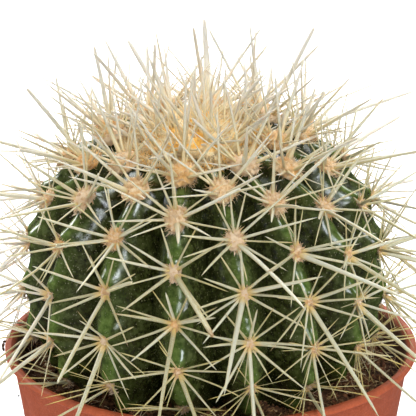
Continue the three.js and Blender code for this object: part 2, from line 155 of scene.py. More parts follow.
def make_tubes(name, tubes, sides):
    """One mesh object, in metres, from tubes of millimetre points, a row of points for each tube."""
    count, each = tubes.shape[:2]
    quads, triangles = tube_faces((each - 2) // sides, sides)
    first_point = each * np.arange(count)[:, None, None]
    quads, triangles = (quads + first_point).reshape(-1, 4), (triangles + first_point).reshape(-1, 3)
    points = tubes.reshape(-1, 3)
    if inside_out(points, quads, triangles):
        quads, triangles = quads[:, ::-1], triangles[:, ::-1]
    mesh = bpy.data.meshes.new(name)
    mesh.vertices.add(len(points))
    mesh.vertices.foreach_set("co", (points * MM).astype(np.float32).ravel())
    mesh.loops.add(quads.size + triangles.size)
    corners = np.concatenate([quads.ravel(), triangles.ravel()])
    mesh.loops.foreach_set("vertex_index", corners.astype(np.int32))
    starts = np.concatenate([4 * np.arange(len(quads)), quads.size + 3 * np.arange(len(triangles))])
    mesh.polygons.add(len(starts))
    mesh.polygons.foreach_set("loop_start", starts.astype(np.int32))
    mesh.update(calc_edges=True)
    mesh.shade_smooth()
    piece = bpy.data.objects.new(name, mesh)
    bpy.context.scene.collection.objects.link(piece)
    print(name, "has", count, "closed tubes and", 2 * len(quads) + len(triangles), "triangles")
    return piece


print("one tube of 6 rings and 6 sides has", sum(map(len, tube_faces(6, 6))), "faces")

# %% [markdown]
# ## Marks and places
# A material can read a number that is stored on each point of a mesh. That is the simplest way to let a
# colour follow the shape, as the bands follow a spine. Each piece also says which body of the CAD model it
# rides on and which CAD node it stands for.

# %% Marks and places
def mark(piece, name, values):
    """Gives each point of a piece a number that its material can read as an attribute."""
    attribute = piece.data.attributes.new(name, "FLOAT", "POINT")
    attribute.data.foreach_set("value", np.broadcast_to(values, len(piece.data.vertices)).astype(np.float32))


def belong(piece, slot, *nodes):
    """The piece rides on the one body and stands for the nodes given. The slot is not used."""
    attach(piece, "root")
    if nodes:
        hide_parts(*nodes)


def add_piece(name, tubes, sides, slot, *nodes, **marks):
    """Closed tubes as one piece with its marks. A mark is one number for the whole piece, or one number for
    each tube or for each point."""
    piece = make_tubes(name, tubes, sides)
    for title, values in marks.items():
        for_each = np.size(values) == len(tubes)
        mark(piece, title, np.repeat(values, tubes.shape[1]) if for_each else values)
    belong(piece, slot, *nodes)
    return piece


print("pieces can be marked, and can stand for CAD nodes")

# %% [markdown]
# ## A profile along a path
# A spine could be a curve with a bevel, but a thousand curves are slow and hard to vary. A profile carried
# along a path gives the same shape: each stop on the path gets a ring of points, as wide as the spine is
# there. All the spines of a kind are worked out in one array.

# %% A profile carried along many paths
def carried(path, right, up, half_width, sides):
    """Rings round many paths at once: the path's point, plus right times the half width times the cosine of
    the turn, plus up times the half width times the sine. The first and last points close the ends."""
    turn = 2 * np.pi * np.arange(sides) / sides
    ring = right[:, None, None] * np.cos(turn)[:, None] + up[:, None, None] * np.sin(turn)[:, None]
    rings = path[:, 1:-1, None] + half_width[:, :, None, None] * ring
    return np.concatenate([path[:, :1], rings.reshape(len(path), -1, 3), path[:, -1:]], axis=1)


def on_points(values, sides):
    """Spreads numbers given per path and ring, ends included, over the points of closed tubes."""
    rounded = np.repeat(values[:, 1:-1], sides, axis=1)
    return np.concatenate([values[:, :1], rounded, values[:, -1:]], axis=1).ravel()


def xyz(x, y, z):
    """Points or directions from their three coordinates. A single number holds for all of them."""
    return np.stack(np.broadcast_arrays(x, y, z), axis=-1)


def one_tube(rings, first, last):
    """Rings of points as one closed tube, with the heights of its two ends on the upright axis."""
    return np.concatenate([[[0, 0, first]], rings.reshape(-1, 3), [[0, 0, last]]])[None]


def unit(vectors):
    """Vectors of length one that point the same way."""
    return vectors / np.linalg.norm(vectors, axis=-1, keepdims=True)


def sideways(way, towards):
    """Two directions square to each way and to each other. The second leans towards the given one."""
    right = unit(np.cross(way, towards))
    return right, np.cross(right, way)


print("profiles can be carried along many paths at once")

# %% [markdown]
# ## Chance that repeats
# No two spines of a real plant are alike, but the picture has to come out the same on every run. So chance is
# worked out from counts, such as those of the rib and the cushion, by the formula of the CAD source. The
# other small tool is an S-shaped step, which fades one shape or colour into the next.

# %% Chance and smooth steps
SEED = 342.54


def chance(first, second, third):
    """A fixed number between 0 and 1 for three counts: the fraction of a large multiple of a sine."""
    wave = np.sin(first * 12.9898 + second * 78.233 + third * 37.719 + SEED) * 43758.5453
    return wave - np.floor(wave)


def sway(first, second, third):
    """The same chance, between -1 and 1."""
    return 2 * chance(first, second, third) - 1


def smooth_step(low, high, value):
    """0 below low, 1 above high, and between them an S-shaped rise."""
    part = np.clip((value - low) / (high - low), 0, 1)
    return part * part * (3 - 2 * part)


def draws(source, count, *limits):
    """Rows of numbers drawn from a source, one row for each pair of limits."""
    return [source.uniform(low, high, count) for low, high in limits]


print("chance of 1, 2, 3 is", round(float(chance(1, 2, 3)), 6))

# %% [markdown]
# ## The rule of the ribs
# On the real plant the ribs run from the crown to the soil, a groove between each two, and they crowd a
# little towards the sides. The CAD source makes body, cushions and spines by one set of formulas, so the
# same formulas are worked out here on whole arrays. That way the fine skin lies on the CAD body and every
# spine stands where the CAD needle stands, with no table of places.

# %% The crest's line and the ribs
BODY_RADIUS = 51.4
EQUATOR_HEIGHT = 17.2
RIM_HEIGHT = 95.0
RIBS = 16
FIRST_RIB = np.radians(11.9)
RIB_SWAY = np.radians(2.3)
LEAN_FORWARD, LEAN_LEFT = 0.088, 0.065
BODY_PLACE = np.array([-0.3, 0, RIM_HEIGHT])

# The line has one curve above the plant's widest place and another below it.
line_angle = np.radians(np.linspace(90, -60, 401))
line_power = np.where(line_angle > 0, 0.77, 1.18)
line_reach = np.where(line_angle > 0, 49.4, 42.1)
LINE_RADIUS = BODY_RADIUS * np.abs(np.cos(line_angle)) ** line_power
LINE_HEIGHT = EQUATOR_HEIGHT + line_reach * np.sign(line_angle) * np.abs(np.sin(line_angle)) ** line_power
LINE_ALONG = np.concatenate([[0], np.cumsum(np.hypot(np.diff(LINE_RADIUS), np.diff(LINE_HEIGHT)))])


def crest_at(along):
    """Radius and height of a rib's crest at distances from the top of the dome, and the radius and height
    parts of the direction that faces out of the skin there, square to the line's own direction."""
    index = np.clip(np.searchsorted(LINE_ALONG, along), 1, len(LINE_ALONG) - 1)
    step_radius = LINE_RADIUS[index] - LINE_RADIUS[index - 1]
    step_height = LINE_HEIGHT[index] - LINE_HEIGHT[index - 1]
    span = np.hypot(step_radius, step_height)
    radius, height = np.interp(along, LINE_ALONG, LINE_RADIUS), np.interp(along, LINE_ALONG, LINE_HEIGHT)
    return radius, height, -step_height / span, step_radius / span


def rib_azimuth(ribs):
    """The even azimuth of a rib plus a small sway with the cosine of twice that azimuth."""
    even = FIRST_RIB + ribs * 2 * np.pi / RIBS
    return even + RIB_SWAY * np.cos(2 * even)


def on_azimuth(radius, azimuth, height):
    """Points at a radius and height, with azimuth 0 towards the camera."""
    return xyz(radius * np.sin(azimuth), -radius * np.cos(azimuth), height)


def rotated(first, second, angle):
    """Two coordinates turned by an angle in their own plane."""
    return first * np.cos(angle) - second * np.sin(angle), first * np.sin(angle) + second * np.cos(angle)


def turned_with_plant(vectors):
    """Directions of the upright plant, leaned left about Y and then forwards about X."""
    x, y, z = np.moveaxis(vectors, -1, 0)
    x, z = rotated(x, z, LEAN_LEFT)
    y, z = rotated(y, z, LEAN_FORWARD)
    return xyz(x, y, z)


def in_pot(points):
    """Points of the upright plant, brought to their place in the pot."""
    return turned_with_plant(points) + BODY_PLACE


print("a crest is", round(LINE_ALONG[-1], 2), "mm long from the top to the buried foot")

# %% [markdown]
# ## Where the cushions are
# A cushion is the spot on a rib that spines grow from. Down each rib the cushions follow in steps that close
# up a little towards the soil, and every other rib starts about half a step later, so neighbours stand in a
# zigzag. The skin needs this rule as well, because it swells above each cushion.

# %% The rule of the cushions
CUSHION_START, CUSHION_STEP, CUSHION_CLOSING, CUSHION_OFFSET = 24.0, 15.1, 0.15, 7.3


def cushion_start(rib):
    """Where a rib's first cushion is. Every other rib starts about half a step later."""
    return CUSHION_START + np.where(rib % 2 == 1, 0, CUSHION_OFFSET)


def cushion_along(rib, row):
    """The start, plus a step for each row, less a closing that grows with the square of the row."""
    return cushion_start(rib) + CUSHION_STEP * row - CUSHION_CLOSING * row**2


def cushions_passed(rib, along):
    """How many cushions lie above a distance along a rib, as a running number: the inverse of the rule."""
    under = CUSHION_STEP**2 - 4 * CUSHION_CLOSING * (along - cushion_start(rib))
    return (CUSHION_STEP - np.sqrt(under)) / (2 * CUSHION_CLOSING)


print("cushions of the first rib start", cushion_along(1, np.arange(6)).round(1), "mm from the top")

# %% [markdown]
# ## The green skin
# The skin is one closed surface over two parameters: the distance down a rib and the turn round the plant.
# Between the ribs it sinks by a cosine, which gives the sharp groove and the round crest. On the crest it
# swells into a chin just above each cushion and lifts the cushion itself. The material reads how near a
# point is to the crest, so that number is stored on the mesh.

# %% Skin surface
RIB_DEPTH, CHIN_RISE = 9.5, 1.7
MOUND_RISE, MOUND_LONG, MOUND_WIDE = 1.3, 2.7, 2.6


def rib_depth(along):
    """The full depth of a groove, fading in below the crown and out again under the peat."""
    return RIB_DEPTH * smooth_step(14, 44, along) * (1 - smooth_step(100, 126, along))


def skin_points(along, ribs):
    """The crest's line turned to the rib's azimuth, sunk by the depth times one minus the cosine of the
    part of the pitch, and raised by the chin above each cushion and by the mound under it."""
    rib = np.round(ribs)
    part = ribs - rib
    radius, height, out_radius, out_height = crest_at(along)
    sink = rib_depth(along) * (1 - np.cos(np.pi * part))
    passed = cushions_passed(rib % RIBS, along)
    phase = passed - np.floor(passed)
    off = (passed - np.round(passed)) * CUSHION_STEP
    across = part * 2 * np.pi * radius / RIBS
    on_rib = smooth_step(16, 30, along) * (1 - smooth_step(108, 120, along))
    near_middle = 1 - smooth_step(0.02, 0.46, np.abs(part))
    chin = CHIN_RISE * on_rib * (0.5 - 0.5 * np.cos(2 * np.pi * phase**3.0)) * near_middle
    mound = MOUND_RISE * on_rib * np.exp(-((off / MOUND_LONG) ** 2) - (across / MOUND_WIDE) ** 2)
    rise = chin + mound - sink
    points = on_azimuth(radius + rise * out_radius, rib_azimuth(ribs), height + rise * out_height)
    return points, np.cos(np.pi * part), phase


SKIN_ROWS, SKIN_COLUMNS = 220, 26 * RIBS
rows = np.linspace(2, LINE_ALONG[-1], SKIN_ROWS)[:, None]
columns = (np.arange(SKIN_COLUMNS) * RIBS / SKIN_COLUMNS)[None]
skin_grid, skin_crest, skin_phase = skin_points(rows, columns)
skin_tube = in_pot(one_tube(skin_grid, LINE_HEIGHT[0], LINE_HEIGHT[-1]))
crest_marks = np.pad(np.broadcast_to(skin_crest, skin_phase.shape).ravel(), 1)
skin = add_piece("green_skin", skin_tube, SKIN_COLUMNS, "green_skin", "cactus", crest=crest_marks,
                 phase=np.pad(skin_phase.ravel(), 1))
skin.data.set_sharp_from_angle(angle=np.radians(50))

# %% [markdown]
# ## Helpers for the finishes
# A good finish starts from noise at the size of the real marks. These helpers add a node and return its
# output, so that a material reads like a recipe. They all add to the tree of the finish that was begun last.
# The first ones give numbers: a place, a stored mark, noise, dots, and the sums that join them.

# %% Numbers for a finish
def new_finish(name, roughness, specular=0.5):
    """A material with its node tree and its shader, with roughness and gloss set on the shader. The tree
    has to be kept under the name tree, where the other helpers look for it."""
    finish = bpy.data.materials.new(name)
    finish.use_nodes = True
    shader = finish.node_tree.nodes["Principled BSDF"]
    shader.inputs["Roughness"].default_value = roughness
    shader.inputs["Specular IOR Level"].default_value = specular
    return finish, finish.node_tree, shader


def feed(value, socket):
    """Links an output to a socket, or sets a plain value or a colour on it."""
    if isinstance(value, bpy.types.NodeSocket):
        tree.links.new(value, socket)
    else:
        socket.default_value = (*value, 1) if isinstance(value, tuple) else value


def node(kind, inputs=None, **settings):
    """Adds a node of a kind, with its settings, and feeds its inputs by their names or numbers."""
    made = tree.nodes.new("ShaderNode" + kind)
    for name, value in settings.items():
        setattr(made, name, value)
    for key, value in (inputs or {}).items():
        feed(value, made.inputs[key])
    return made


def object_place():
    return node("TexCoord").outputs["Object"]


def height_above_floor():
    """Height above the floor in metres."""
    return node("SeparateXYZ", {0: object_place()}).outputs["Z"]


def attribute(name):
    return node("Attribute", attribute_name=name).outputs["Fac"]


def noise(scale, detail=4.0, roughness=0.55):
    """Noise on object coordinates, with about this many features to the metre."""
    inputs = {"Vector": object_place(), "Scale": scale, "Detail": detail, "Roughness": roughness}
    return node("TexNoise", inputs).outputs["Fac"]


def dots(scale, size, share=1.0):
    """1 in round dots on object coordinates, in a share of the cells: the distance to the cell's own point is
    below a size that varies with the cell."""
    cells = node("TexVoronoi", {"Vector": object_place(), "Scale": scale})
    reach = between(cells.outputs["Color"], 1 - share, 1, 0.0, size)
    return maths("LESS_THAN", cells.outputs["Distance"], reach)


def maths(how, first, second=0.0):
    return node("Math", {0: first, 1: second}, operation=how).outputs[0]


def times(first, second):
    return maths("MULTIPLY", first, second)


def between(value, low, high, from_part=0.0, to_part=1.0):
    """A value spread smoothly from low and high to two other numbers."""
    numbers = dict(enumerate((value, low, high, from_part, to_part)))
    return node("MapRange", numbers, interpolation_type="SMOOTHSTEP").outputs["Result"]


print("finishes can read places, marks, noise and dots")

# %% [markdown]
# ## Colours and bumps
# A number has to become something to look at. A ramp turns it into colours, coats lay one colour over
# another as a painter does, and a bump lets it catch the light as if the surface were rough, with no more
# faces.

# %% Colours and bumps
def ramp(value, stops):
    """Colours by a value: stops are pairs of a position and a linear colour."""
    made = node("ValToRGB", {"Fac": value})
    elements = made.color_ramp.elements
    while len(elements) < len(stops):
        elements.new(0.5)
    for element, (position, colour) in zip(elements, stops):
        element.position, element.color = position, (*colour, 1)
    return made.outputs["Color"]


def coats(colour, *layers):
    """Lays colours over a first one in turn. Each layer is a part between 0 and 1 and the colour itself."""
    for part, over in layers:
        colour = node("Mix", {0: part, 6: colour, 7: over}, data_type="RGBA").outputs[2]
    return colour


def bumped(height, strength, distance, **under):
    """A bump from a height. The distance is in metres, and another bump may lie under it as its Normal."""
    inputs = {"Strength": strength, "Distance": distance, "Height": height, **under}
    return node("Bump", inputs).outputs["Normal"]


def paint(finish, pieces, colour, **others):
    """Feeds a colour and other inputs, such as Normal, to a finish, and puts the finish on its pieces."""
    for name, value in {"Base Color": colour, **others}.items():
        feed(value, tree.nodes["Principled BSDF"].inputs[name])
    for piece in pieces:
        piece.data.materials.append(finish)
    print(finish.name, "has", len(tree.nodes), "nodes")


print("finishes can have ramps, coats and bumps")

# %% [markdown]
# ## Waxy green
# The flanks are nearly black green and mottled. The crest is painted a brighter green as if lit, most of all
# on the chin above each cushion, which is a painted highlight. Tiny cream flecks lie all over. The wax gives
# clear but soft-edged highlights, so the roughness is low and a fine bump breaks them up.

# %% Skin finish
skin_finish, tree, _ = new_finish("waxy_green_skin", 0.2, 0.6)
crest, phase = attribute("crest"), attribute("phase")
cloud, blotch, grain = noise(520, 7, 0.65), noise(110, 3), noise(1500, 2)
flank = ramp(cloud, [(0.38, (0.014, 0.015, 0.004)), (0.5, (0.028, 0.034, 0.007)),
                     (0.62, (0.06, 0.072, 0.021))])
# The crest's brighter green is painted light, strongest on the chins above the cushions where light falls.
lit_ridge_green = ramp(cloud, [(0.36, (0.042, 0.076, 0.012)), (0.64, (0.125, 0.188, 0.038))])
near_crest = between(maths("ADD", crest, times(blotch, 0.06)), 0.93, 1.02)
lit_chin_part = between(phase, 0.08, 0.7, 0.35, 1.0)
lit_shoulder_part = between(crest, 0.6, 0.98, 0.0, 0.3)
lit_ridge_part = maths("MAXIMUM", times(near_crest, lit_chin_part), lit_shoulder_part)
fleck, scar = times(dots(1400, 0.27), 0.45), times(dots(130, 0.09, 0.3), 0.8)
green = coats(flank, (lit_ridge_part, lit_ridge_green), (fleck, (0.34, 0.32, 0.2)), (scar, (0.42, 0.34, 0.2)))
fine = bumped(grain, 0.15, 0.0001)
paint(skin_finish, [skin], green, Roughness=between(cloud, 0.35, 0.65, 0.12, 0.26),
      Normal=bumped(cloud, 0.2, 0.0002, Normal=fine))

# %% [markdown]
# ## Cushions of wool
# Each cushion is a small oval pad of felted wool on the crest. Near the crown the pads are large, golden and
# fluffy, and lower down they are small and worn. Their places come from the rule above, all 88 in one array,
# and each has its own three directions: out of the skin, to the right, and up the rib.

# %% Cushion places
rib_count, row_count = np.meshgrid(np.arange(RIBS), np.arange(6), indexing="ij")
shown = row_count < np.where(rib_count % 2 == 1, 6, 5)
RIB, ROW = rib_count[shown], row_count[shown]
ALONG = cushion_along(RIB, ROW)
crest_radius, crest_height, out_radius, out_height = crest_at(ALONG)
OUT = on_azimuth(out_radius, rib_azimuth(RIB), out_height)
RIGHT = xyz(np.cos(rib_azimuth(RIB)), np.sin(rib_azimuth(RIB)), 0)
UP = unit(np.cross(OUT, RIGHT))
CUSHION_RISE = 1.5
PLACE = on_azimuth(crest_radius, rib_azimuth(RIB), crest_height) + CUSHION_RISE * OUT
YOUNG = 1 - smooth_step(25, 48, ALONG)
WOOLLY = 1 - smooth_step(28, 60, ALONG)
# Half a pad's width and height at some distances down its rib.
PAD_AT = [24, 31, 39, 46, 54, 61, 75, 92]
PAD_WIDTH = np.interp(ALONG, PAD_AT, [4.1, 3.7, 3.1, 2.5, 2.0, 1.6, 1.3, 1.1])
PAD_HEIGHT = np.interp(ALONG, PAD_AT, [4.3, 4.1, 3.9, 3.2, 2.7, 2.3, 1.95, 1.75])
print(len(ALONG), "cushions, the lowest", round(float(ALONG.max()), 1), "mm down its rib")

# %% [markdown]
# ## Pads
# A pad could be a squashed ball, but ragged rings look more like felt: each ring is an ellipse, the rings
# shrink towards the top, and every point is moved a little by chance. Near the crown a pad stands up like a
# button, and lower down it lies flat.

# %% Cushion pads
PAD_RINGS, PAD_SIDES = 8, 24
chance_source = np.random.default_rng(11)


def pad_points():
    """Rings of an ellipse that shrink over a quarter circle towards the top, with each point moved in or
    out by chance, so that the edge is ragged and the top is lumpy."""
    rise_angle = np.linspace(-0.5, 1.25, PAD_RINGS)
    turn = 2 * np.pi * np.arange(PAD_SIDES) / PAD_SIDES
    wide = np.cos(rise_angle)[:, None]
    ragged = 1 + 0.1 * chance_source.standard_normal((len(ALONG), PAD_RINGS, PAD_SIDES))
    thick = (0.45 + 1.8 * WOOLLY)[:, None, None]
    x = PAD_WIDTH[:, None, None] * wide * np.cos(turn) * ragged
    y = PAD_HEIGHT[:, None, None] * wide * np.sin(turn) * ragged
    z = thick * (np.sin(rise_angle)[:, None] + 0.1 * chance_source.standard_normal(x.shape))
    rings = PLACE[:, None, None] + np.einsum("nrs,nd->nrsd", x, RIGHT) + np.einsum("nrs,nd->nrsd", y, UP)
    rings = rings + np.einsum("nrs,nd->nrsd", z, OUT)
    ends = [PLACE - 1.4 * OUT, PLACE + thick[:, 0] * OUT]
    return np.concatenate([ends[0][:, None], rings.reshape(len(ALONG), -1, 3), ends[1][:, None]], axis=1)


pads = add_piece("cushion_pads", in_pot(pad_points()), PAD_SIDES, "crown_wool", tint=chance(RIB, ROW, 41),
                 young=WOOLLY)

# %% [markdown]
# ## Loose threads
# The eye takes a thing for wool by its edge of loose hairs. Hair curves aren't exported, so each thread is a
# thin closed tube with three sides and few faces. Seven in ten stand on the pad, and the others come out at
# its rim. A young cushion has about three times as many as an old one.

# %% Loose threads of the cushions
def threads(root, way, length, half_width, bend, source):
    """Thin three-sided threads: from the root along the way, bowed sideways by a part of the length with a
    parabola, and thinning to the tip."""
    part = np.array([0, 0.05, 0.55, 1])
    side = unit(source.standard_normal(way.shape))
    path = root[:, None] + way[:, None] * (length[:, None] * part)[..., None]
    path = path + side[:, None] * ((bend * length)[:, None] * part**2)[..., None]
    right, up = sideways(way, side)
    return carried(path, right, up, half_width[:, None] * np.array([1, 0.8]), 3)


OLD_THREADS, MORE_WHEN_YOUNG, RIM_SHARE = 110, 215, 0.3
many = np.repeat(np.arange(len(ALONG)), (OLD_THREADS + MORE_WHEN_YOUNG * np.sqrt(WOOLLY)).astype(int))
turn = chance_source.uniform(0, 2 * np.pi, len(many))
at_rim = chance_source.uniform(0, 1, len(many)) < RIM_SHARE
reach = np.where(at_rim, 1.05, np.sqrt(chance_source.uniform(0, 1.1, len(many))))
edge = RIGHT[many] * (PAD_WIDTH[many] * np.cos(turn))[:, None]
edge = edge + UP[many] * (PAD_HEIGHT[many] * np.sin(turn))[:, None]
swell = (0.1 + 1.6 * WOOLLY[many]) * np.sqrt(1.15 - reach**2)
swell = swell - at_rim * WOOLLY[many] * chance_source.uniform(0, 1.3, len(many))
root = PLACE[many] + edge * (0.9 * reach)[:, None] + OUT[many] * swell[:, None]
outwards = (0.7 - 0.5 * at_rim)[:, None] * OUT[many] + unit(edge) * (1.1 * reach)[:, None]
stand = unit(outwards + 0.6 * chance_source.standard_normal(root.shape))
length, width, bend = draws(chance_source, len(many), (0.5, 1.5), (0.08, 0.17), (0.3, 1.1))
length, width = (0.9 + 0.35 * WOOLLY[many]) * length, width - 0.02 * WOOLLY[many]
thread_points = threads(root, stand, length, width, bend, chance_source)
pad_threads = add_piece("cushion_threads", in_pot(thread_points), 3, "crown_wool",
                        tint=chance_source.uniform(0, 1, len(many)), young=WOOLLY[many])

# %% [markdown]
# ## Old wool
# Under many cushions hang scraps of old wool that have come loose. They are threads again, only shorter and
# thicker, in tufts of five that lie close to the skin.

# %% Old wool under the cushions
SCRAPS, WORN_SHARE = 5, 0.6
worn = np.repeat(np.flatnonzero(chance(RIB, ROW, 57) < WORN_SHARE), SCRAPS)
aside = chance_source.standard_normal(len(worn))
below = PAD_HEIGHT[worn] + chance_source.uniform(-0.4, 1.6, len(worn))
scrap_root = PLACE[worn] + RIGHT[worn] * (0.8 * aside)[:, None] - UP[worn] * below[:, None]
scrap_root = scrap_root - OUT[worn] * (0.5 + 0.2 * aside**2)[:, None]
scrap_way = unit(chance_source.standard_normal(scrap_root.shape) + 0.4 * OUT[worn])
length, width, bend = draws(chance_source, len(worn), (0.8, 1.7), (0.2, 0.42), (0.3, 0.8))
scrap_points = threads(scrap_root, scrap_way, length, width, bend, chance_source)
scraps = add_piece("wool_scraps", in_pot(scrap_points), 3, "crown_wool", tint=1.0, young=0.0)

# %% [markdown]
# ## Corky scabs
# One flank of the plant has three small wounds that healed as discs of cork. The skin's own formula places
# them, from the rib and the row where they are seen.

# %% Corky scabs
# One line for each scab: where it is between the ribs, its row between the cushions, and its radius.
SCABS = np.array([(15.19, 2.43, 0.6), (15.09, 2.24, 0.36), (15.16, 2.36, 0.22)])
SCAB_SIDES = 10
scab_along = cushion_along(15, SCABS[:, 1])
scab_root = skin_points(scab_along, SCABS[:, 0])[0]
scab_out = unit(scab_root * [1, 1, 0] + [0, 0, 4])
scab_rise = SCABS[:, 2, None] * np.array([-0.5, -0.3, 0.1, 0.35, 0.4])
scab_path = scab_root[:, None] + scab_out[:, None] * scab_rise[..., None]
scab_right, scab_up = sideways(scab_out, np.broadcast_to([0, 0, 1.0], scab_out.shape))
scab_width = SCABS[:, 2, None] * np.array([1, 0.95, 0.55])
scab_ring = carried(scab_path, scab_right, scab_up, scab_width, SCAB_SIDES)
scab_ring = scab_ring + 0.05 * chance_source.standard_normal(scab_ring.shape)
scabs = add_piece("corky_scabs", in_pot(scab_ring), SCAB_SIDES, "crown_wool", tint=0.6, young=0.0)

# %% [markdown]
# ## Felted wool
# Wool is matt and takes light softly, so it is rough with a little sheen. Its colour goes from tan on the old
# cushions to a golden tan on the young ones, with orange patches where the spines come out and cream threads.

# %% Wool finish
wool_finish, tree, shader = new_finish("felted_wool", 0.95, 0.1)
shader.inputs["Sheen Weight"].default_value = 0.25
shader.inputs["Sheen Roughness"].default_value = 0.5
tuft, speck = noise(900, 5), noise(330, 3)
old_wool = ramp(tuft, [(0.36, (0.49, 0.28, 0.12)), (0.5, (0.64, 0.43, 0.25)), (0.64, (0.78, 0.63, 0.45))])
young_wool = ramp(tuft, [(0.36, (0.64, 0.38, 0.16)), (0.5, (0.75, 0.52, 0.28)), (0.64, (0.83, 0.66, 0.43))])
wool = coats(old_wool, (attribute("young"), young_wool),
             (between(speck, 0.54, 0.64, 0.0, 0.55), (0.74, 0.37, 0.10)),
             (between(attribute("tint"), 0.25, 0.0, 0.0, 0.45), (0.72, 0.38, 0.09)),
             (between(attribute("tint"), 0.5, 0.9, 0.0, 0.7), (0.74, 0.59, 0.42)))
paint(wool_finish, [pads, pad_threads, scraps, scabs], wool, Normal=bumped(tuft, 0.6, 0.0005))

# %% [markdown]
# ## Spines
# A cushion carries a star of spines: one long central spine that leans to either side, two strong ones left
# and right, and thinner ones round the edge. The six long ones follow the CAD rule, and the last seven are
# only found low on the plant. Turns, lifts and lengths stray by chance round the numbers of the rule.

# %% The rule of the spines
# One line for each spine: turn round the cushion from its right, lift off the skin, length, half width,
# how far the turn strays, how much longer it is when young, and how likely it is there. The first six are
# the long ones of the CAD source.
SPINE_RULES = np.array([
    (-90, 48, 38, 0.72, 45, -13, 1),
    (8, 40, 22, 0.52, 20, 6, 1),
    (174, 40, 22, 0.52, 20, 6, 1),
    (90, 46, 18, 0.42, 16, 9, 1),
    (-40, 30, 18, 0.42, 10, 4, 1),
    (-140, 30, 18, 0.42, 10, 4, 1),
    (66, 24, 13, 0.3, 8, 5, 0.8),
    (114, 24, 14, 0.3, 8, 5, 0.8),
    (30, 22, 17, 0.36, 8, 4, 0.8),
    (150, 22, 17, 0.36, 8, 4, 0.8),
    (-14, 16, 18, 0.34, 8, 3, 0.85),
    (196, 16, 18, 0.34, 8, 3, 0.85),
    (-98, 14, 12, 0.28, 12, 2, 0.7),
    (-70, 20, 8, 0.2, 16, 0, 0.8),
    (-112, 20, 8, 0.2, 16, 0, 0.8),
    (-52, 22, 12, 0.2, 16, 0, 0.8),
    (-128, 22, 12, 0.2, 16, 0, 0.8),
    (16, 14, 12, 0.2, 14, 0, 0.8),
    (164, 14, 12, 0.2, 14, 0, 0.8),
    (-86, 36, 14, 0.22, 20, 0, 0.8),
])
LONG_ONES, FIRST_LOW_ONE = 6, 13
TURN, LIFT, LENGTH, HALF_WIDTH, STRAY, WHEN_YOUNG, LIKELY = SPINE_RULES.T[:, None]
kind = np.arange(len(SPINE_RULES))[None]
rib, row, young = RIB[:, None], ROW[:, None], YOUNG[:, None]
spine_turn = np.radians(TURN + STRAY * sway(rib, row, kind * 3))
spine_lift = np.radians(LIFT + 8 * sway(rib, row, kind * 3 + 1) + 14 * young)
spine_length = LENGTH * (1 + 0.12 * sway(rib, row, kind * 3 + 2)) + WHEN_YOUNG * young
low_down = smooth_step(66, 84, ALONG[:, None])
there = chance(rib, row, kind + 70) < LIKELY * np.where(kind >= FIRST_LOW_ONE, low_down, 1)
# The left edge of the plant is barer.
left_edge = smooth_step(36, 44, -PLACE[:, 0, None])
there &= (kind < LONG_ONES) | (chance(rib, row, kind + 90) < 1 - 0.7 * left_edge)
print(int(there.sum()), "spines on", len(ALONG), "cushions")

# %% [markdown]
# ## Spines that keep clear
# A spine can't grow through the pot: on the real plant it comes to lie above the lip. Here twenty points on
# the way of each spine are tried. A long one that would touch the peat or the lip is turned steeper, four
# degrees at a time, until it is clear, as in the CAD source, and a thin one that would touch is left out.

# %% Spine roots and directions
PAST_LIP, INNER_WALL = 61.5, 55.2
ABOVE_LIP, ABOVE_PEAT = 96.5, 91.65
TRIED_POINTS, LIFT_STEP, STEEPEST = 20, np.radians(4), np.radians(80)
ROOT_ACROSS, ROOT_UP = 1.4, 1.82


def clears_pot(root, way, length):
    """True for each spine whose twenty evenly spaced points all stay above the peat and the pot's lip."""
    steps = np.arange(1, TRIED_POINTS + 1) / TRIED_POINTS
    points = in_pot(root[:, None] + way[:, None] * (length[:, None] * steps)[..., None])
    radius = np.hypot(points[..., 0], points[..., 1])
    least = np.where(radius > PAST_LIP, -np.inf, np.where(radius > INNER_WALL, ABOVE_LIP, ABOVE_PEAT))
    return (points[..., 2] >= least).all(axis=1)


def lifted_clear(root, way, length):
    """Turns the spines that would touch four degrees steeper at a time, heading a little more outwards."""
    touching = ~clears_pot(root, way, length)
    level = unit(way * [1, 1, 0]) + 0.4 * unit(root * [1, 1, 0])
    level = unit(level * [1, 1, 0])
    slope = np.arcsin(way[:, 2])
    for _ in range(40):
        if not touching.any():
            break
        slope[touching] += LIFT_STEP
        steeper = level * np.cos(slope)[:, None] + xyz(0, 0, np.sin(slope))
        way = np.where(touching[:, None], steeper, way)
        touching = touching & ~clears_pot(root, way, length) & (slope < STEEPEST)
    return way


flat = np.cos(spine_lift)
spine_way = (RIGHT[:, None] * (flat * np.cos(spine_turn))[..., None]
             + UP[:, None] * (flat * np.sin(spine_turn))[..., None]
             + OUT[:, None] * np.sin(spine_lift)[..., None])
root_spread = 0.6 + 0.4 * young
spine_root = (PLACE[:, None] + RIGHT[:, None] * (ROOT_ACROSS * root_spread * np.cos(spine_turn))[..., None]
              + UP[:, None] * (ROOT_UP * root_spread * np.sin(spine_turn))[..., None])
side_root, side_length = spine_root[there], spine_length[there]
side_way = unit(spine_way[there])
long_ones = np.broadcast_to(kind < LONG_ONES, there.shape)[there]
kept = long_ones | clears_pot(side_root, side_way, side_length)
side_root, side_length, side_way = side_root[kept], side_length[kept], side_way[kept]
side_way = lifted_clear(side_root, side_way, side_length)


def for_kept(values):
    """Numbers given for each cushion or each kind of spine, one for every spine that is kept."""
    return np.broadcast_to(values, there.shape)[there][kept]


side_low, side_young = smooth_step(76, 88, for_kept(ALONG[:, None])), for_kept(young)
side_out = np.broadcast_to(OUT[:, None], spine_way.shape)[there][kept]
spine_source = np.random.default_rng(23)
side_width = for_kept(HALF_WIDTH) * spine_source.uniform(0.75, 1.2, len(side_low))
side_width = side_width * (1 + 0.2 * side_young) * (1 - 0.4 * side_low)
print("longest spine", round(float(side_length.max()), 1), "mm")

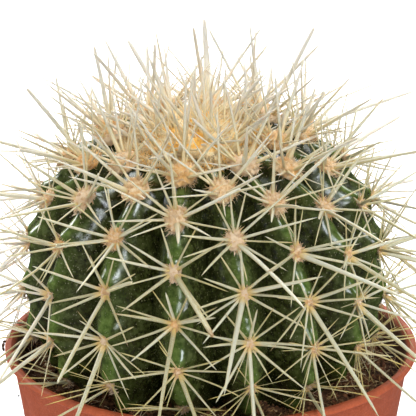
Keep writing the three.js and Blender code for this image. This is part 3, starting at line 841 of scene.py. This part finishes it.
# %% [markdown]
# ## Needles
# A spine of this plant is a flattened needle, not a cone: it keeps its width for most of its length and then
# narrows to the tip. Each one gets its own taper, so that some are blunt and some are fine. There are more
# than a thousand, so each has only a few dozen faces.

# %% Spine meshes
SPINE_PARTS = np.array([-0.06, -0.05, 0.04, 0.3, 0.62, 0.88, 0.97, 1.0])
SPINE_WIDTHS = np.array([0.75, 1.1, 0.98, 0.86, 0.6, 0.22])
SPINE_SIDES = 6
SPINE_FLATNESS = 0.66
SIDE_BOW, CROWN_BOW = 0.009, 0.007


def spine_points(root, way, length, half_width, taper, out, source, bow):
    """A flattened oval carried from a little inside the cushion to the tip. The path bows sideways by a
    small part of the length, with a parabola that is zero at both ends, and one spine in eight bows more.
    A taper of 1 keeps the width for long, and 2 narrows it evenly."""
    right, up = sideways(way, out)
    count = len(length)
    side = right * source.standard_normal(count)[:, None]
    side = unit(side + up * source.standard_normal(count)[:, None])
    sag = bow * length * source.standard_normal(count)
    sag = sag * np.where(source.uniform(0, 1, count) < 0.12, 2.5, 1)
    path = root[:, None] + way[:, None] * (length[:, None] * SPINE_PARTS)[..., None]
    path = path + side[:, None] * (sag[:, None] * 4 * SPINE_PARTS * (1 - SPINE_PARTS))[..., None]
    widths = half_width[:, None] * SPINE_WIDTHS ** taper[:, None]
    return carried(path, right, SPINE_FLATNESS * up, widths, SPINE_SIDES)


def spine_marks(length):
    """For each point of the spines its part of the length, its distance from the root, and how near it is
    to one of the two edges of the flattened oval."""
    parts = np.broadcast_to(SPINE_PARTS, (len(length), len(SPINE_PARTS)))
    edge = np.abs(np.cos(2 * np.pi * np.arange(SPINE_SIDES) / SPINE_SIDES))
    return {"part": on_points(parts, SPINE_SIDES),
            "distance": on_points(parts * length[:, None], SPINE_SIDES),
            "edge": np.tile(np.pad(np.tile(edge, len(SPINE_WIDTHS)), 1), len(length))}


side_taper = spine_source.uniform(0.7, 1.8, len(side_length)) + 0.8 * side_young
blunt = (side_width > 0.55) & (spine_source.uniform(0, 1, len(side_length)) < 0.25)
side_taper[blunt] = 0.3
side_points = spine_points(side_root, side_way, side_length, side_width, side_taper, side_out, spine_source,
                           SIDE_BOW)
# Spines behind the plant and at its left edge get a painted backlight, and thin and low ones are golden.
bleached_behind = 0.9 * smooth_step(-6, 24, side_root[:, 1])
bleached_left = 1.42 * smooth_step(38, 50, -side_root[:, 0])
side_bleached = np.maximum(bleached_behind, bleached_left) * (1 - 0.85 * side_low)
side_thin = 1 - smooth_step(0.28, 0.42, side_width)
side_golden = side_thin * (1 - 0.8 * np.minimum(side_bleached, 1)) * (1 + side_low)
side_tint = spine_source.uniform(0, 1, len(side_length)) * (1 - 0.6 * side_low)
side_spines = add_piece("side_spines", in_pot(side_points), SPINE_SIDES, "spines", **spine_marks(side_length),
                        tint=side_tint, young=side_young, bleached=side_bleached, golden=side_golden)

# %% [markdown]
# ## Straw
# The spines are pale straw with golden edges, finely banded across as they grew. They come out of the wool
# orange-yellow, and some tips have gone brown. Young spines, and those behind and at the left edge, are
# painted paler: painted light, as if light shone through them from above and behind. The bands follow the
# distance from the root, which was stored on the mesh, so they stay square to each spine. A little light
# passes through, as through horn.

# %% Spine finish
straw_finish, tree, shader = new_finish("banded_straw", 0.32, 0.4)
tint, part, distance = attribute("tint"), attribute("part"), attribute("distance")
fresh, bleached = attribute("young"), attribute("bleached")
wobble = times(noise(700, 2), 3.0)
band = maths("SINE", times(maths("ADD", distance, wobble), 9.0))
on_edge = between(attribute("edge"), 0.62, 0.95, 0.0, 0.7)
to_tip = between(part, 0.2, 0.9, 0.1, 0.5)
browned = times(between(part, 0.8, 0.97), between(tint, 0.3, 0.1))
browned = times(browned, between(fresh, 0.0, 0.6, 1.0, 0.1))
straw = ramp(tint, [(0.0, (0.405, 0.365, 0.20)), (0.5, (0.48, 0.455, 0.31)), (1.0, (0.545, 0.535, 0.42))])
# The coats: bands, young spines painted paler as if lit through from above, spines painted paler as a painted
# backlight behind the plant and at its left edge, edges, golden ones, the ends and roots of young ones, the
# roots of all, and brown tips.
straw = coats(straw, (between(band, -0.2, 1.0, 0.0, 0.35), (0.57, 0.575, 0.47)),
              (times(fresh, 0.6), (0.61, 0.58, 0.48)),
              (times(bleached, 0.7), (0.80, 0.735, 0.64)),
              (times(on_edge, between(bleached, 0.0, 0.8, 1.0, 0.2)), (0.47, 0.38, 0.15)),
              (times(attribute("golden"), to_tip), (0.52, 0.41, 0.13)),
              (times(fresh, between(part, 0.3, 0.75, 0.0, 0.7)), (0.545, 0.515, 0.455)),
              (times(fresh, between(distance, 2, 13, 0.6, 0.0)), (0.78, 0.62, 0.32)),
              (between(distance, 0.6, 3.6, 0.75, 0.0), (0.70, 0.48, 0.15)),
              (times(browned, 0.7), (0.24, 0.11, 0.03)))
shader.inputs["Subsurface Weight"].default_value = 0.45
shader.inputs["Subsurface Radius"].default_value = (1.0, 0.8, 0.55)
shader.inputs["Subsurface Scale"].default_value = 0.8 * MM
paint(straw_finish, [side_spines], straw, Normal=bumped(band, 0.2, 0.0001))

# %% [markdown]
# ## The crown
# In the top of the plant the youngest cushions run together into one golden felt. It is a low dome with
# tufts packed in a sunflower spiral, which is how cushions follow each other on a growing tip.

# %% Crown wool
CROWN_RADIUS, CROWN_BRIM = 14.6, 15.6
GOLDEN_ANGLE = np.radians(137.508)
TUFTS = 60
brim = float(crest_at(np.array([CROWN_BRIM]))[1][0])
crown_foot = brim - 2.2
tuft_index = np.arange(TUFTS)
tuft_radius, tuft_azimuth = CROWN_RADIUS * np.sqrt((tuft_index + 0.5) / TUFTS), tuft_index * GOLDEN_ANGLE
tuft_places = on_azimuth(tuft_radius, tuft_azimuth, 0)[:, :2]


def crown_height(x, y):
    """A quarter ellipse from the edge up to the middle, plus the height of the nearest tuft, which falls
    off with the square of the distance from the tuft's middle."""
    reach = np.clip(np.hypot(x, y) / (CROWN_RADIUS * 1.02), 0, 1)
    nearest = np.hypot(x[..., None] - tuft_places[:, 0], y[..., None] - tuft_places[:, 1]).min(axis=-1)
    return brim + 0.2 + 3.2 * np.sqrt(1 - reach**2) + 1.0 * (1 - (nearest / 1.9) ** 2)


CROWN_RINGS, CROWN_SIDES = 40, 120
dome_angle = np.linspace(0.05, 1.52, CROWN_RINGS - 2)
ring_radius = np.concatenate([np.full(2, CROWN_RADIUS), CROWN_RADIUS * np.cos(dome_angle)])
ring_azimuth = -2 * np.pi * np.arange(CROWN_SIDES) / CROWN_SIDES
crown_x, crown_y = (on_azimuth(ring_radius[:, None], ring_azimuth[None], 0)[..., i] for i in (0, 1))
crown_z = crown_height(crown_x, crown_y)
crown_z[0] = crown_foot
crown_z[1] = np.minimum(crown_z[1], brim - 0.4)
crown_top = crown_height(np.zeros(1), np.zeros(1))[0]
crown_tube = in_pot(one_tube(xyz(crown_x, crown_y, crown_z), crown_foot, crown_top))
crown_felt = add_piece("crown_felt", crown_tube, CROWN_SIDES, "crown_wool", "crown_wool", tint=0.4, young=1.0)

# %% [markdown]
# ## Threads of the crown
# The crown has the same loose threads as the cushions, only thousands of them. They stand closest at its
# edge and a little beyond it, where they hide the step between felt and skin.

# %% Crown threads
crown_source = np.random.default_rng(37)
CROWN_THREADS = 9500
# The upper part of the crest's line, where its radius grows all the way.
UPPER_LINE = slice(201)
spread = (CROWN_RADIUS + 7) * crown_source.uniform(0, 1, CROWN_THREADS) ** 0.42
heading = crown_source.uniform(0, 2 * np.pi, CROWN_THREADS)
thread_root = on_azimuth(spread, heading, 0)
skin_height = np.interp(spread, LINE_RADIUS[UPPER_LINE], LINE_HEIGHT[UPPER_LINE])
thread_root[:, 2] = np.maximum(crown_height(thread_root[:, 0], thread_root[:, 1]) - 0.6, skin_height)
thread_lean = on_azimuth(0.5 * spread / CROWN_RADIUS, heading, 1.0)
thread_way = unit(thread_lean + 0.7 * crown_source.standard_normal((CROWN_THREADS, 3)))
length, width, bend = draws(crown_source, CROWN_THREADS, (0.9, 2.4), (0.08, 0.16), (0.1, 0.6))
width = width + 0.05 * smooth_step(14, 17, spread)
thread_points = threads(thread_root, thread_way, length, width, bend, crown_source)
crown_threads = add_piece("crown_threads", in_pot(thread_points), 3, "crown_wool",
                          tint=crown_source.uniform(0, 1, CROWN_THREADS), young=1.0)

# %% [markdown]
# ## Spines of the crown
# The youngest spines stand nearly upright in the middle and lean away further out. Each of the young cushions
# has three stout ones and seven thin ones, and they cross, because they come up crowded in tufts.

# %% Crown spines
YOUNG_CUSHIONS, CROWN_SPINES = 21, 210
cushion = np.arange(CROWN_SPINES) % YOUNG_CUSHIONS
stout = np.arange(CROWN_SPINES) // YOUNG_CUSHIONS < 3
young_radius = (CROWN_RADIUS + 1) * np.sqrt((cushion + 0.5) / YOUNG_CUSHIONS)
young_azimuth = cushion * GOLDEN_ANGLE
tilt = np.radians(4 + 38 * (young_radius / CROWN_RADIUS) ** 1.4)
young_stray = np.where(stout, 0.42, 0.8)[:, None] * crown_source.standard_normal((CROWN_SPINES, 3))
young_way = on_azimuth(np.sin(tilt), young_azimuth, np.cos(tilt)) + young_stray
young_way[:, 2] = np.maximum(young_way[:, 2], 0.3)
young_way = unit(young_way)
young_place = on_azimuth(young_radius, young_azimuth, 0)
young_root = young_place + 1.2 * crown_source.standard_normal((CROWN_SPINES, 3))
young_root[:, 2] = crown_height(young_root[:, 0], young_root[:, 1]) - 1.2
# Lengths of the stout and the thin ones, widths of both, and tapers.
long_stout, long_thin, wide_stout, wide_thin, young_taper = draws(
    crown_source, CROWN_SPINES, (15, 23), (7, 15), (0.42, 0.85), (0.16, 0.32), (1.1, 1.9))
young_length, young_width = np.where(stout, long_stout, long_thin), np.where(stout, wide_stout, wide_thin)
young_out = on_azimuth(np.ones(CROWN_SPINES), young_azimuth, 0.3)
young_points = spine_points(young_root, young_way, young_length, young_width, young_taper, young_out,
                            crown_source, CROWN_BOW)
# The crown spines get a painted backlight as well, stronger behind the crown.
crown_spines = add_piece("crown_spines", in_pot(young_points), SPINE_SIDES, "spines",
                         **spine_marks(young_length), tint=crown_source.uniform(0.5, 1, CROWN_SPINES),
                         young=1.0, bleached=0.3 + 0.5 * smooth_step(-8, 8, young_root[:, 1]), golden=0.0)
crown_spines.data.materials.append(straw_finish)

# %% [markdown]
# ## Golden felt
# The crown's felt is more golden than the cushions below it, with amber in the gaps between its tufts.

# %% Crown finish
felt_finish, tree, shader = new_finish("golden_felt", 0.95, 0.1)
shader.inputs["Sheen Weight"].default_value = 0.25
tuft, gap = noise(800, 5), noise(260, 2)
felt = ramp(tuft, [(0.34, (0.80, 0.54, 0.24)), (0.5, (0.90, 0.70, 0.39)), (0.68, (0.89, 0.79, 0.55))])
felt = coats(felt, (between(gap, 0.50, 0.60, 0.0, 0.8), (0.86, 0.46, 0.04)),
             (between(attribute("tint"), 0.6, 1.0, 0.0, 0.5), (0.86, 0.76, 0.52)))
paint(felt_finish, [crown_felt, crown_threads], felt, Normal=bumped(tuft, 0.6, 0.0006))

# %% [markdown]
# ## The pot
# A nursery pot is moulded in one piece with a thin wall, a lip turned outwards and drain holes in the base.
# Its profile is a list of radius and height pairs, from the middle of the base up the outside, over the lip
# and down the inside, and it is turned about the upright axis.

# %% Pot profile
LIP_FOOT, LIP_RADIUS = 92.8, 60
WALL_RADIUS, WALL_TAPER, WALL_THICK, BASE_THICK = 57.9, 0.17, 1.1, 1.8
POT_SIDES = 192


def wall_radius(height):
    """The outer radius under the lip, less the taper times the distance down from the lip."""
    return WALL_RADIUS - WALL_TAPER * (LIP_FOOT - height)


def turned(name, profile, sides):
    """A profile of radius and height pairs turned about the upright axis. Its first and last pairs are
    the two ends on the axis."""
    azimuth = 2 * np.pi * np.arange(sides) / sides
    radius, height = np.array(profile[1:-1]).T[:, :, None]
    rings = xyz(radius * np.cos(azimuth), radius * np.sin(azimuth), height)
    return make_tubes(name, one_tube(rings, profile[0][1], profile[-1][1]), sides)


def thick_in(height):
    """The radius of the lining, one wall thickness inside the outer side."""
    return wall_radius(height) - WALL_THICK


outside = [(0, 0), (20, 0), (wall_radius(0) - 1.5, 0), (wall_radius(1.5), 1.5), (wall_radius(30), 30),
           (wall_radius(60), 60), (WALL_RADIUS, LIP_FOOT)]
lip = [(LIP_RADIUS - 0.5, LIP_FOOT), (LIP_RADIUS, LIP_FOOT + 0.5), (LIP_RADIUS, RIM_HEIGHT - 0.5),
       (LIP_RADIUS - 0.5, RIM_HEIGHT), (58.2, RIM_HEIGHT)]
lining = [(thick_in(LIP_FOOT), 93.6), (thick_in(60), 60), (thick_in(3.3), 3.3),
          (thick_in(BASE_THICK) - 1.5, BASE_THICK), (20, BASE_THICK), (0, BASE_THICK)]
pot = turned("pot_wall", outside + lip + lining, POT_SIDES)

# %% [markdown]
# ## Drain holes and rounded edges
# The holes are cut from the base with a boolean, which leaves the pot one closed solid, and a small bevel
# rounds every edge, as a mould does. Both are applied. Then the points of the lining are marked, so that the
# finish can darken them with soil and painted shade.

# %% Drain holes and rounded edges
HOLES, HOLE_RADIUS, HOLES_OUT, HOLE_SIDES = 8, 4.5, 29, 40
hole_turn = 2 * np.pi * np.arange(HOLES) / HOLES
hole_place = HOLES_OUT * xyz(np.cos(hole_turn), np.sin(hole_turn), 0)
hole_path = hole_place[:, None] + np.array([[0, 0, z] for z in (-4, -4, 6, 6)])
axes = [np.broadcast_to(axis, (HOLES, 3)) for axis in ([1.0, 0, 0], [0, 1.0, 0])]
hole_points = carried(hole_path, axes[0], axes[1], np.full((HOLES, 2), HOLE_RADIUS), HOLE_SIDES)
cutter = make_tubes("drain_cutter", hole_points, HOLE_SIDES)
cut = pot.modifiers.new("drains", "BOOLEAN")
cut.operation, cut.object, cut.solver = "DIFFERENCE", cutter, "MANIFOLD"
round_off = pot.modifiers.new("moulded_edges", "BEVEL")
round_off.width, round_off.segments, round_off.limit_method = 0.25 * MM, 3, "ANGLE"
round_off.angle_limit = np.radians(28)
bpy.context.view_layer.update()
pot.data = bpy.data.meshes.new_from_object(pot.evaluated_get(bpy.context.evaluated_depsgraph_get()))
pot.modifiers.clear()
pot.data.set_sharp_from_angle(angle=np.radians(40))
bpy.data.objects.remove(cutter)
pot_points = np.empty(3 * len(pot.data.vertices), np.float32)
pot.data.vertices.foreach_get("co", pot_points)
pot_x, pot_y, pot_z = pot_points.reshape(-1, 3).T / MM
mark(pot, "inside", (np.hypot(pot_x, pot_y) < wall_radius(pot_z) - 0.7) & (pot_z > 1.5) & (pot_z < 94.2))
belong(pot, "pot_plastic", "pot")
print("pot has", len(pot.data.polygons), "faces")

# %% [markdown]
# ## Moulded plastic
# The plastic is a matt terracotta red with a dull gloss, faintly speckled and paler where it is scuffed. The
# lip is painted a clearer red as a painted highlight, the top of the rim is darker, and the lining above the
# peat is darkened by soil and by painted shade inside the pot.

# %% Pot finish
plastic_finish, tree, _ = new_finish("terracotta_plastic", 0.55, 0.25)
speckle, cloudy, scuff = noise(1800, 3), noise(60, 4), noise(260, 8, 0.7)
plastic = ramp(speckle, [(0.3, (0.26, 0.044, 0.012)), (0.5, (0.345, 0.062, 0.018)),
                         (0.72, (0.45, 0.10, 0.036))])
# The lining is darkened partly by soil on it and partly by painted shade inside the pot.
soil_and_shade = ramp(speckle, [(0.4, (0.03, 0.013, 0.007)), (0.6, (0.1, 0.042, 0.02))])
height = maths("ADD", height_above_floor(), times(scuff, 0.004))
soil_and_shade_part = times(attribute("inside"), between(height, 0.0970, 0.0960, 0.0, 0.95))
# The coats: clouds, scuffs, the painted highlight on the lip, the darker rim, and soil with painted shade on
# the lining.
plastic = coats(plastic, (between(cloudy, 0.35, 0.7, 0.0, 0.25), (0.33, 0.068, 0.034)),
                (between(scuff, 0.6, 0.74, 0.0, 0.25), (0.52, 0.2, 0.12)),
                # The lip's clearer red is a painted highlight, lighter where light falls on the lip.
                (between(height_above_floor(), 0.0930, 0.0933, 0.0, 0.4), (0.50, 0.105, 0.034)),
                (between(height, 0.0955, 0.0972, 0.0, 0.45), (0.17, 0.04, 0.016)),
                (soil_and_shade_part, soil_and_shade))
pot.data.materials.clear()
paint(plastic_finish, [pot], plastic, Roughness=between(scuff, 0.3, 0.7, 0.5, 0.68),
      Normal=bumped(speckle, 0.12, 0.0002))

# %% [markdown]
# ## Peat
# The pot is filled with dark crumbled peat. Its body is one closed piece with an uneven top, the sum of many
# small waves, which never repeats. It runs on under the plant and into the grooves. Next to the wall the
# peat is painted dark as the wall's shadow, and that is marked on the mesh.

# %% Peat body
peat_source = np.random.default_rng(53)
PEAT_BASE, PEAT_HEIGHT, PEAT_MIDDLE = 2.1, 87.5, 88.5


def ripples(x, y, wavelength, source, waves=20):
    """Uneven ground: the sum of many sine waves of about one length, each with its own heading."""
    heading, start = source.uniform(0, 2 * np.pi, (2, waves))
    length = wavelength * source.uniform(0.7, 1.4, waves)
    turn = 2 * np.pi * (x[..., None] * np.cos(heading) + y[..., None] * np.sin(heading)) / length + start
    return np.sin(turn).sum(axis=-1) / np.sqrt(waves / 2)


def peat_level(x, y):
    """The CAD source's peat: level at the wall, 1.6 mm higher near the plant, with a slow wave."""
    radius = np.hypot(x, y)
    calm = 1 - smooth_step(50, 56, radius)
    wave = np.sin(0.31 * x + 1.7) * np.cos(0.27 * y - 0.6) + 0.5 * np.sin(0.5 * (x + y))
    return PEAT_HEIGHT + 1.6 * (1 - smooth_step(38, 56, radius)) + 0.7 * calm * wave


def near_wall(points):
    """1 for points of the peat next to the pot's wall, which are painted dark as the wall's shadow, and 0
    elsewhere.
    """
    radius = np.hypot(points[..., 0], points[..., 1]).ravel()
    return smooth_step(49.5, 53.5, radius) * (radius < 58)


PEAT_RINGS, PEAT_SIDES = 110, 420
# The first three rings are the base, its edge and the last one at the wall. The others make the uneven top.
peat_top = np.linspace(thick_in(PEAT_HEIGHT) - 0.05, 20, PEAT_RINGS - 3)
peat_radius = np.concatenate([[thick_in(2) - 2, thick_in(3.3) - 0.3, thick_in(86) - 0.05], peat_top])
peat_azimuth = 2 * np.pi * np.arange(PEAT_SIDES) / PEAT_SIDES
peat_x, peat_y = peat_radius[:, None] * np.cos(peat_azimuth), peat_radius[:, None] * np.sin(peat_azimuth)
clods = sum(rise * ripples(peat_x, peat_y, wavelength, peat_source)
            for rise, wavelength in ((0.35, 7), (0.22, 2.6), (0.12, 1.3)))
peat_z = peat_level(peat_x, peat_y) + clods
peat_z[0], peat_z[1], peat_z[2] = PEAT_BASE, 3.6, 86
peat_tube = one_tube(xyz(peat_x, peat_y, peat_z), PEAT_BASE, PEAT_MIDDLE)
peat = add_piece("peat", peat_tube, PEAT_SIDES, "peat", "soil", tint=0.3, moist=near_wall(peat_tube))

# %% [markdown]
# ## Crumbs, shreds and straws
# Reddish shreds, tan straws and thousands of crumbs lie on the peat. Each is a small closed tube again, short
# and fat or long and thin, with a heading and a tilt by chance. One that would stick through the pot's wall
# is drawn inwards.

# %% Crumbs, shreds and straws
NEAREST, FURTHEST = 29.0, 55.6


def strewn(count, size, thin, sides, profile, source, tilt, curl=0.15):
    """Small pieces strewn on the peat: each a short path with a heading and a tilt by chance, its widths
    following a profile. Size is half the length and thin is the half width, both in millimetres."""
    radius = np.sqrt(source.uniform(NEAREST**2, FURTHEST**2, count))
    azimuth = source.uniform(0, 2 * np.pi, count)
    x, y = radius * np.cos(azimuth), radius * np.sin(azimuth)
    middle = xyz(x, y, peat_level(x, y) + 0.3)
    heading, slope = source.uniform(0, 2 * np.pi, count), tilt * source.standard_normal(count)
    way = xyz(np.cos(heading) * np.cos(slope), np.sin(heading) * np.cos(slope), np.sin(slope))
    part = np.linspace(-1, 1, len(profile) + 2)
    bend = source.standard_normal((count, 3)) * curl
    reach = way[:, None] * part[:, None] + bend[:, None] * part[:, None] ** 2
    path = middle[:, None] + size[:, None, None] * reach
    inside = (wall_radius(88) - 1.4) / np.maximum(np.hypot(path[..., 0], path[..., 1]), 1)
    path[..., :2] = path[..., :2] * np.minimum(inside, 1)[..., None]
    right, up = sideways(way, unit(source.standard_normal((count, 3))))
    return carried(path, right, up, thin[:, None] * np.array(profile), sides)


def lay(name, points, sides, tints):
    """One piece of the litter from its tubes, with a tint for each of them and the mark of the wall's painted
    shadow.
    """
    return add_piece(name, points, sides, "peat", tint=tints, moist=near_wall(points))


CRUMBS, SHREDS, STRAWS = 3200, 1300, 1000
crumb_size = 0.3 + 0.75 * peat_source.uniform(0, 1, CRUMBS) ** 2
crumb_thin = crumb_size * peat_source.uniform(0.6, 0.95, CRUMBS)
crumb_points = strewn(CRUMBS, crumb_size, crumb_thin, 5, (0.8, 1.0, 0.75), peat_source, 0.8)
rough = 0.12 * peat_source.standard_normal(crumb_points.shape)
crumb_points = crumb_points + rough * crumb_size[:, None, None]
crumbs = lay("peat_crumbs", crumb_points, 5, peat_source.uniform(0, 1, CRUMBS))
shred_size, shred_thin = draws(peat_source, SHREDS, (0.8, 2.8), (0.1, 0.26))
shred_points = strewn(SHREDS, shred_size, shred_thin, 4, (0.9, 1.0, 0.8), peat_source, 0.35)
shreds = lay("peat_shreds", shred_points, 4, peat_source.uniform(0.5, 1, SHREDS))
straw_size, straw_thin = draws(peat_source, STRAWS, (1.5, 6), (0.1, 0.24))
straw_points = strewn(STRAWS, straw_size, straw_thin, 4, (0.8, 1.0, 0.7), peat_source, 0.3, curl=0.3)
straws = lay("peat_straws", straw_points, 4, peat_source.uniform(0, 1, STRAWS))

# %% [markdown]
# ## Bits seen one by one
# A few crumbs that stick to the rim and some pale straws catch the eye on the real pot. Chance would not put
# them where they are, so each has a line of its own.

# %% Bits seen one by one
# One line for each bit: its middle, its heading and slope in degrees, half its length and half its width.
DARK_BITS = np.array([
    (-60.6, 0.3, 93.9, 80, 20, 1.1, 0.5),
    (-60.5, -0.9, 93.2, 130, 60, 0.9, 0.4),
    (-60.3, 1.4, 94.6, 20, 10, 0.7, 0.4),
    (-54.5, 10.9, 89.0, 60, 10, 1.3, 0.7),
    (-55.8, -9.9, 82.2, 90, 10, 0.5, 0.3),
])
PALE_BITS = np.array([
    (-47.8, -5.8, 90.3, 10, 20, 0.6, 0.55),
    (-46.9, -6.3, 90.0, 70, 10, 0.4, 0.35),
    (-59.3, 12.0, 95.5, 110, 25, 2.2, 0.07),
    (54.4, 8.9, 90.9, -27, 35, 1.7, 0.16),
    (41.5, 31.5, 89.6, 60, 10, 4.0, 0.16),
    (41.8, 32.6, 89.9, 75, 14, 3.6, 0.15),
    (40.6, 34.0, 90.1, 48, 18, 3.0, 0.14),
    (42.6, 30.6, 89.6, 82, 8, 4.4, 0.16),
    (40.6, 31.0, 89.4, 40, 5, 4.0, 0.15),
])


def placed(bits, profile, sides, source):
    """A short tube for each line of a list, straight from one end to the other."""
    middle, heading, slope = bits[:, :3], np.radians(bits[:, 3]), np.radians(bits[:, 4])
    way = xyz(np.cos(heading) * np.cos(slope), np.sin(heading) * np.cos(slope), np.sin(slope))
    part = np.linspace(-1, 1, len(profile) + 2)
    path = middle[:, None] + bits[:, 5, None, None] * way[:, None] * part[:, None]
    right, up = sideways(way, unit(source.standard_normal(way.shape)))
    return carried(path, right, up, bits[:, 6, None] * np.array(profile), sides)


dark_points = placed(DARK_BITS, (0.7, 1.0, 0.9), 6, peat_source)
dark_bits = lay("dark_bits", dark_points, 6, np.full(len(DARK_BITS), 0.2))
pale_points = placed(PALE_BITS, (0.8, 1.0, 0.8), 6, peat_source)
pale_bits = lay("pale_bits", pale_points, 6, np.full(len(PALE_BITS), 1.0))

# %% [markdown]
# ## Dark peat and dry straw
# Peat is matt and nearly black in its gaps, painted darker by the wall as the wall's shadow, with warm brown
# where a crumb catches the light.
# The shreds are rusty, and the straws are dry and pale.

# %% Peat finishes
peat_finish, tree, _ = new_finish("crumbled_peat", 0.95, 0.15)
earth, dust = noise(700, 6), noise(2400, 3)
brown = ramp(earth, [(0.34, (0.022, 0.010, 0.005)), (0.5, (0.075, 0.034, 0.015)), (0.66, (0.21, 0.11, 0.05))])
# The last coat is a painted shadow: peat next to the pot's wall is darkened as if the wall shaded it.
brown = coats(brown, (between(attribute("tint"), 0.45, 1.0, 0.0, 0.75), (0.22, 0.085, 0.04)),
              (between(dust, 0.66, 0.74, 0.0, 0.5), (0.3, 0.17, 0.09)),
              (times(attribute("moist"), 0.8), (0.014, 0.006, 0.004)))
paint(peat_finish, [peat, crumbs, shreds, dark_bits], brown, Normal=bumped(earth, 0.8, 0.0008))

dry_finish, tree, _ = new_finish("dry_straw", 0.8, 0.2)
dry = ramp(attribute("tint"), [(0.0, (0.2, 0.09, 0.035)), (0.5, (0.42, 0.27, 0.11)),
                               (1.0, (0.70, 0.58, 0.38))])
# The last coat is the wall's painted shadow on the straws next to it.
dry = coats(dry, (between(noise(900, 4), 0.45, 0.7, 0.0, 0.5), (0.14, 0.06, 0.025)),
            (times(attribute("moist"), 0.6), (0.06, 0.025, 0.012)))
paint(dry_finish, [straws, pale_bits], dry)
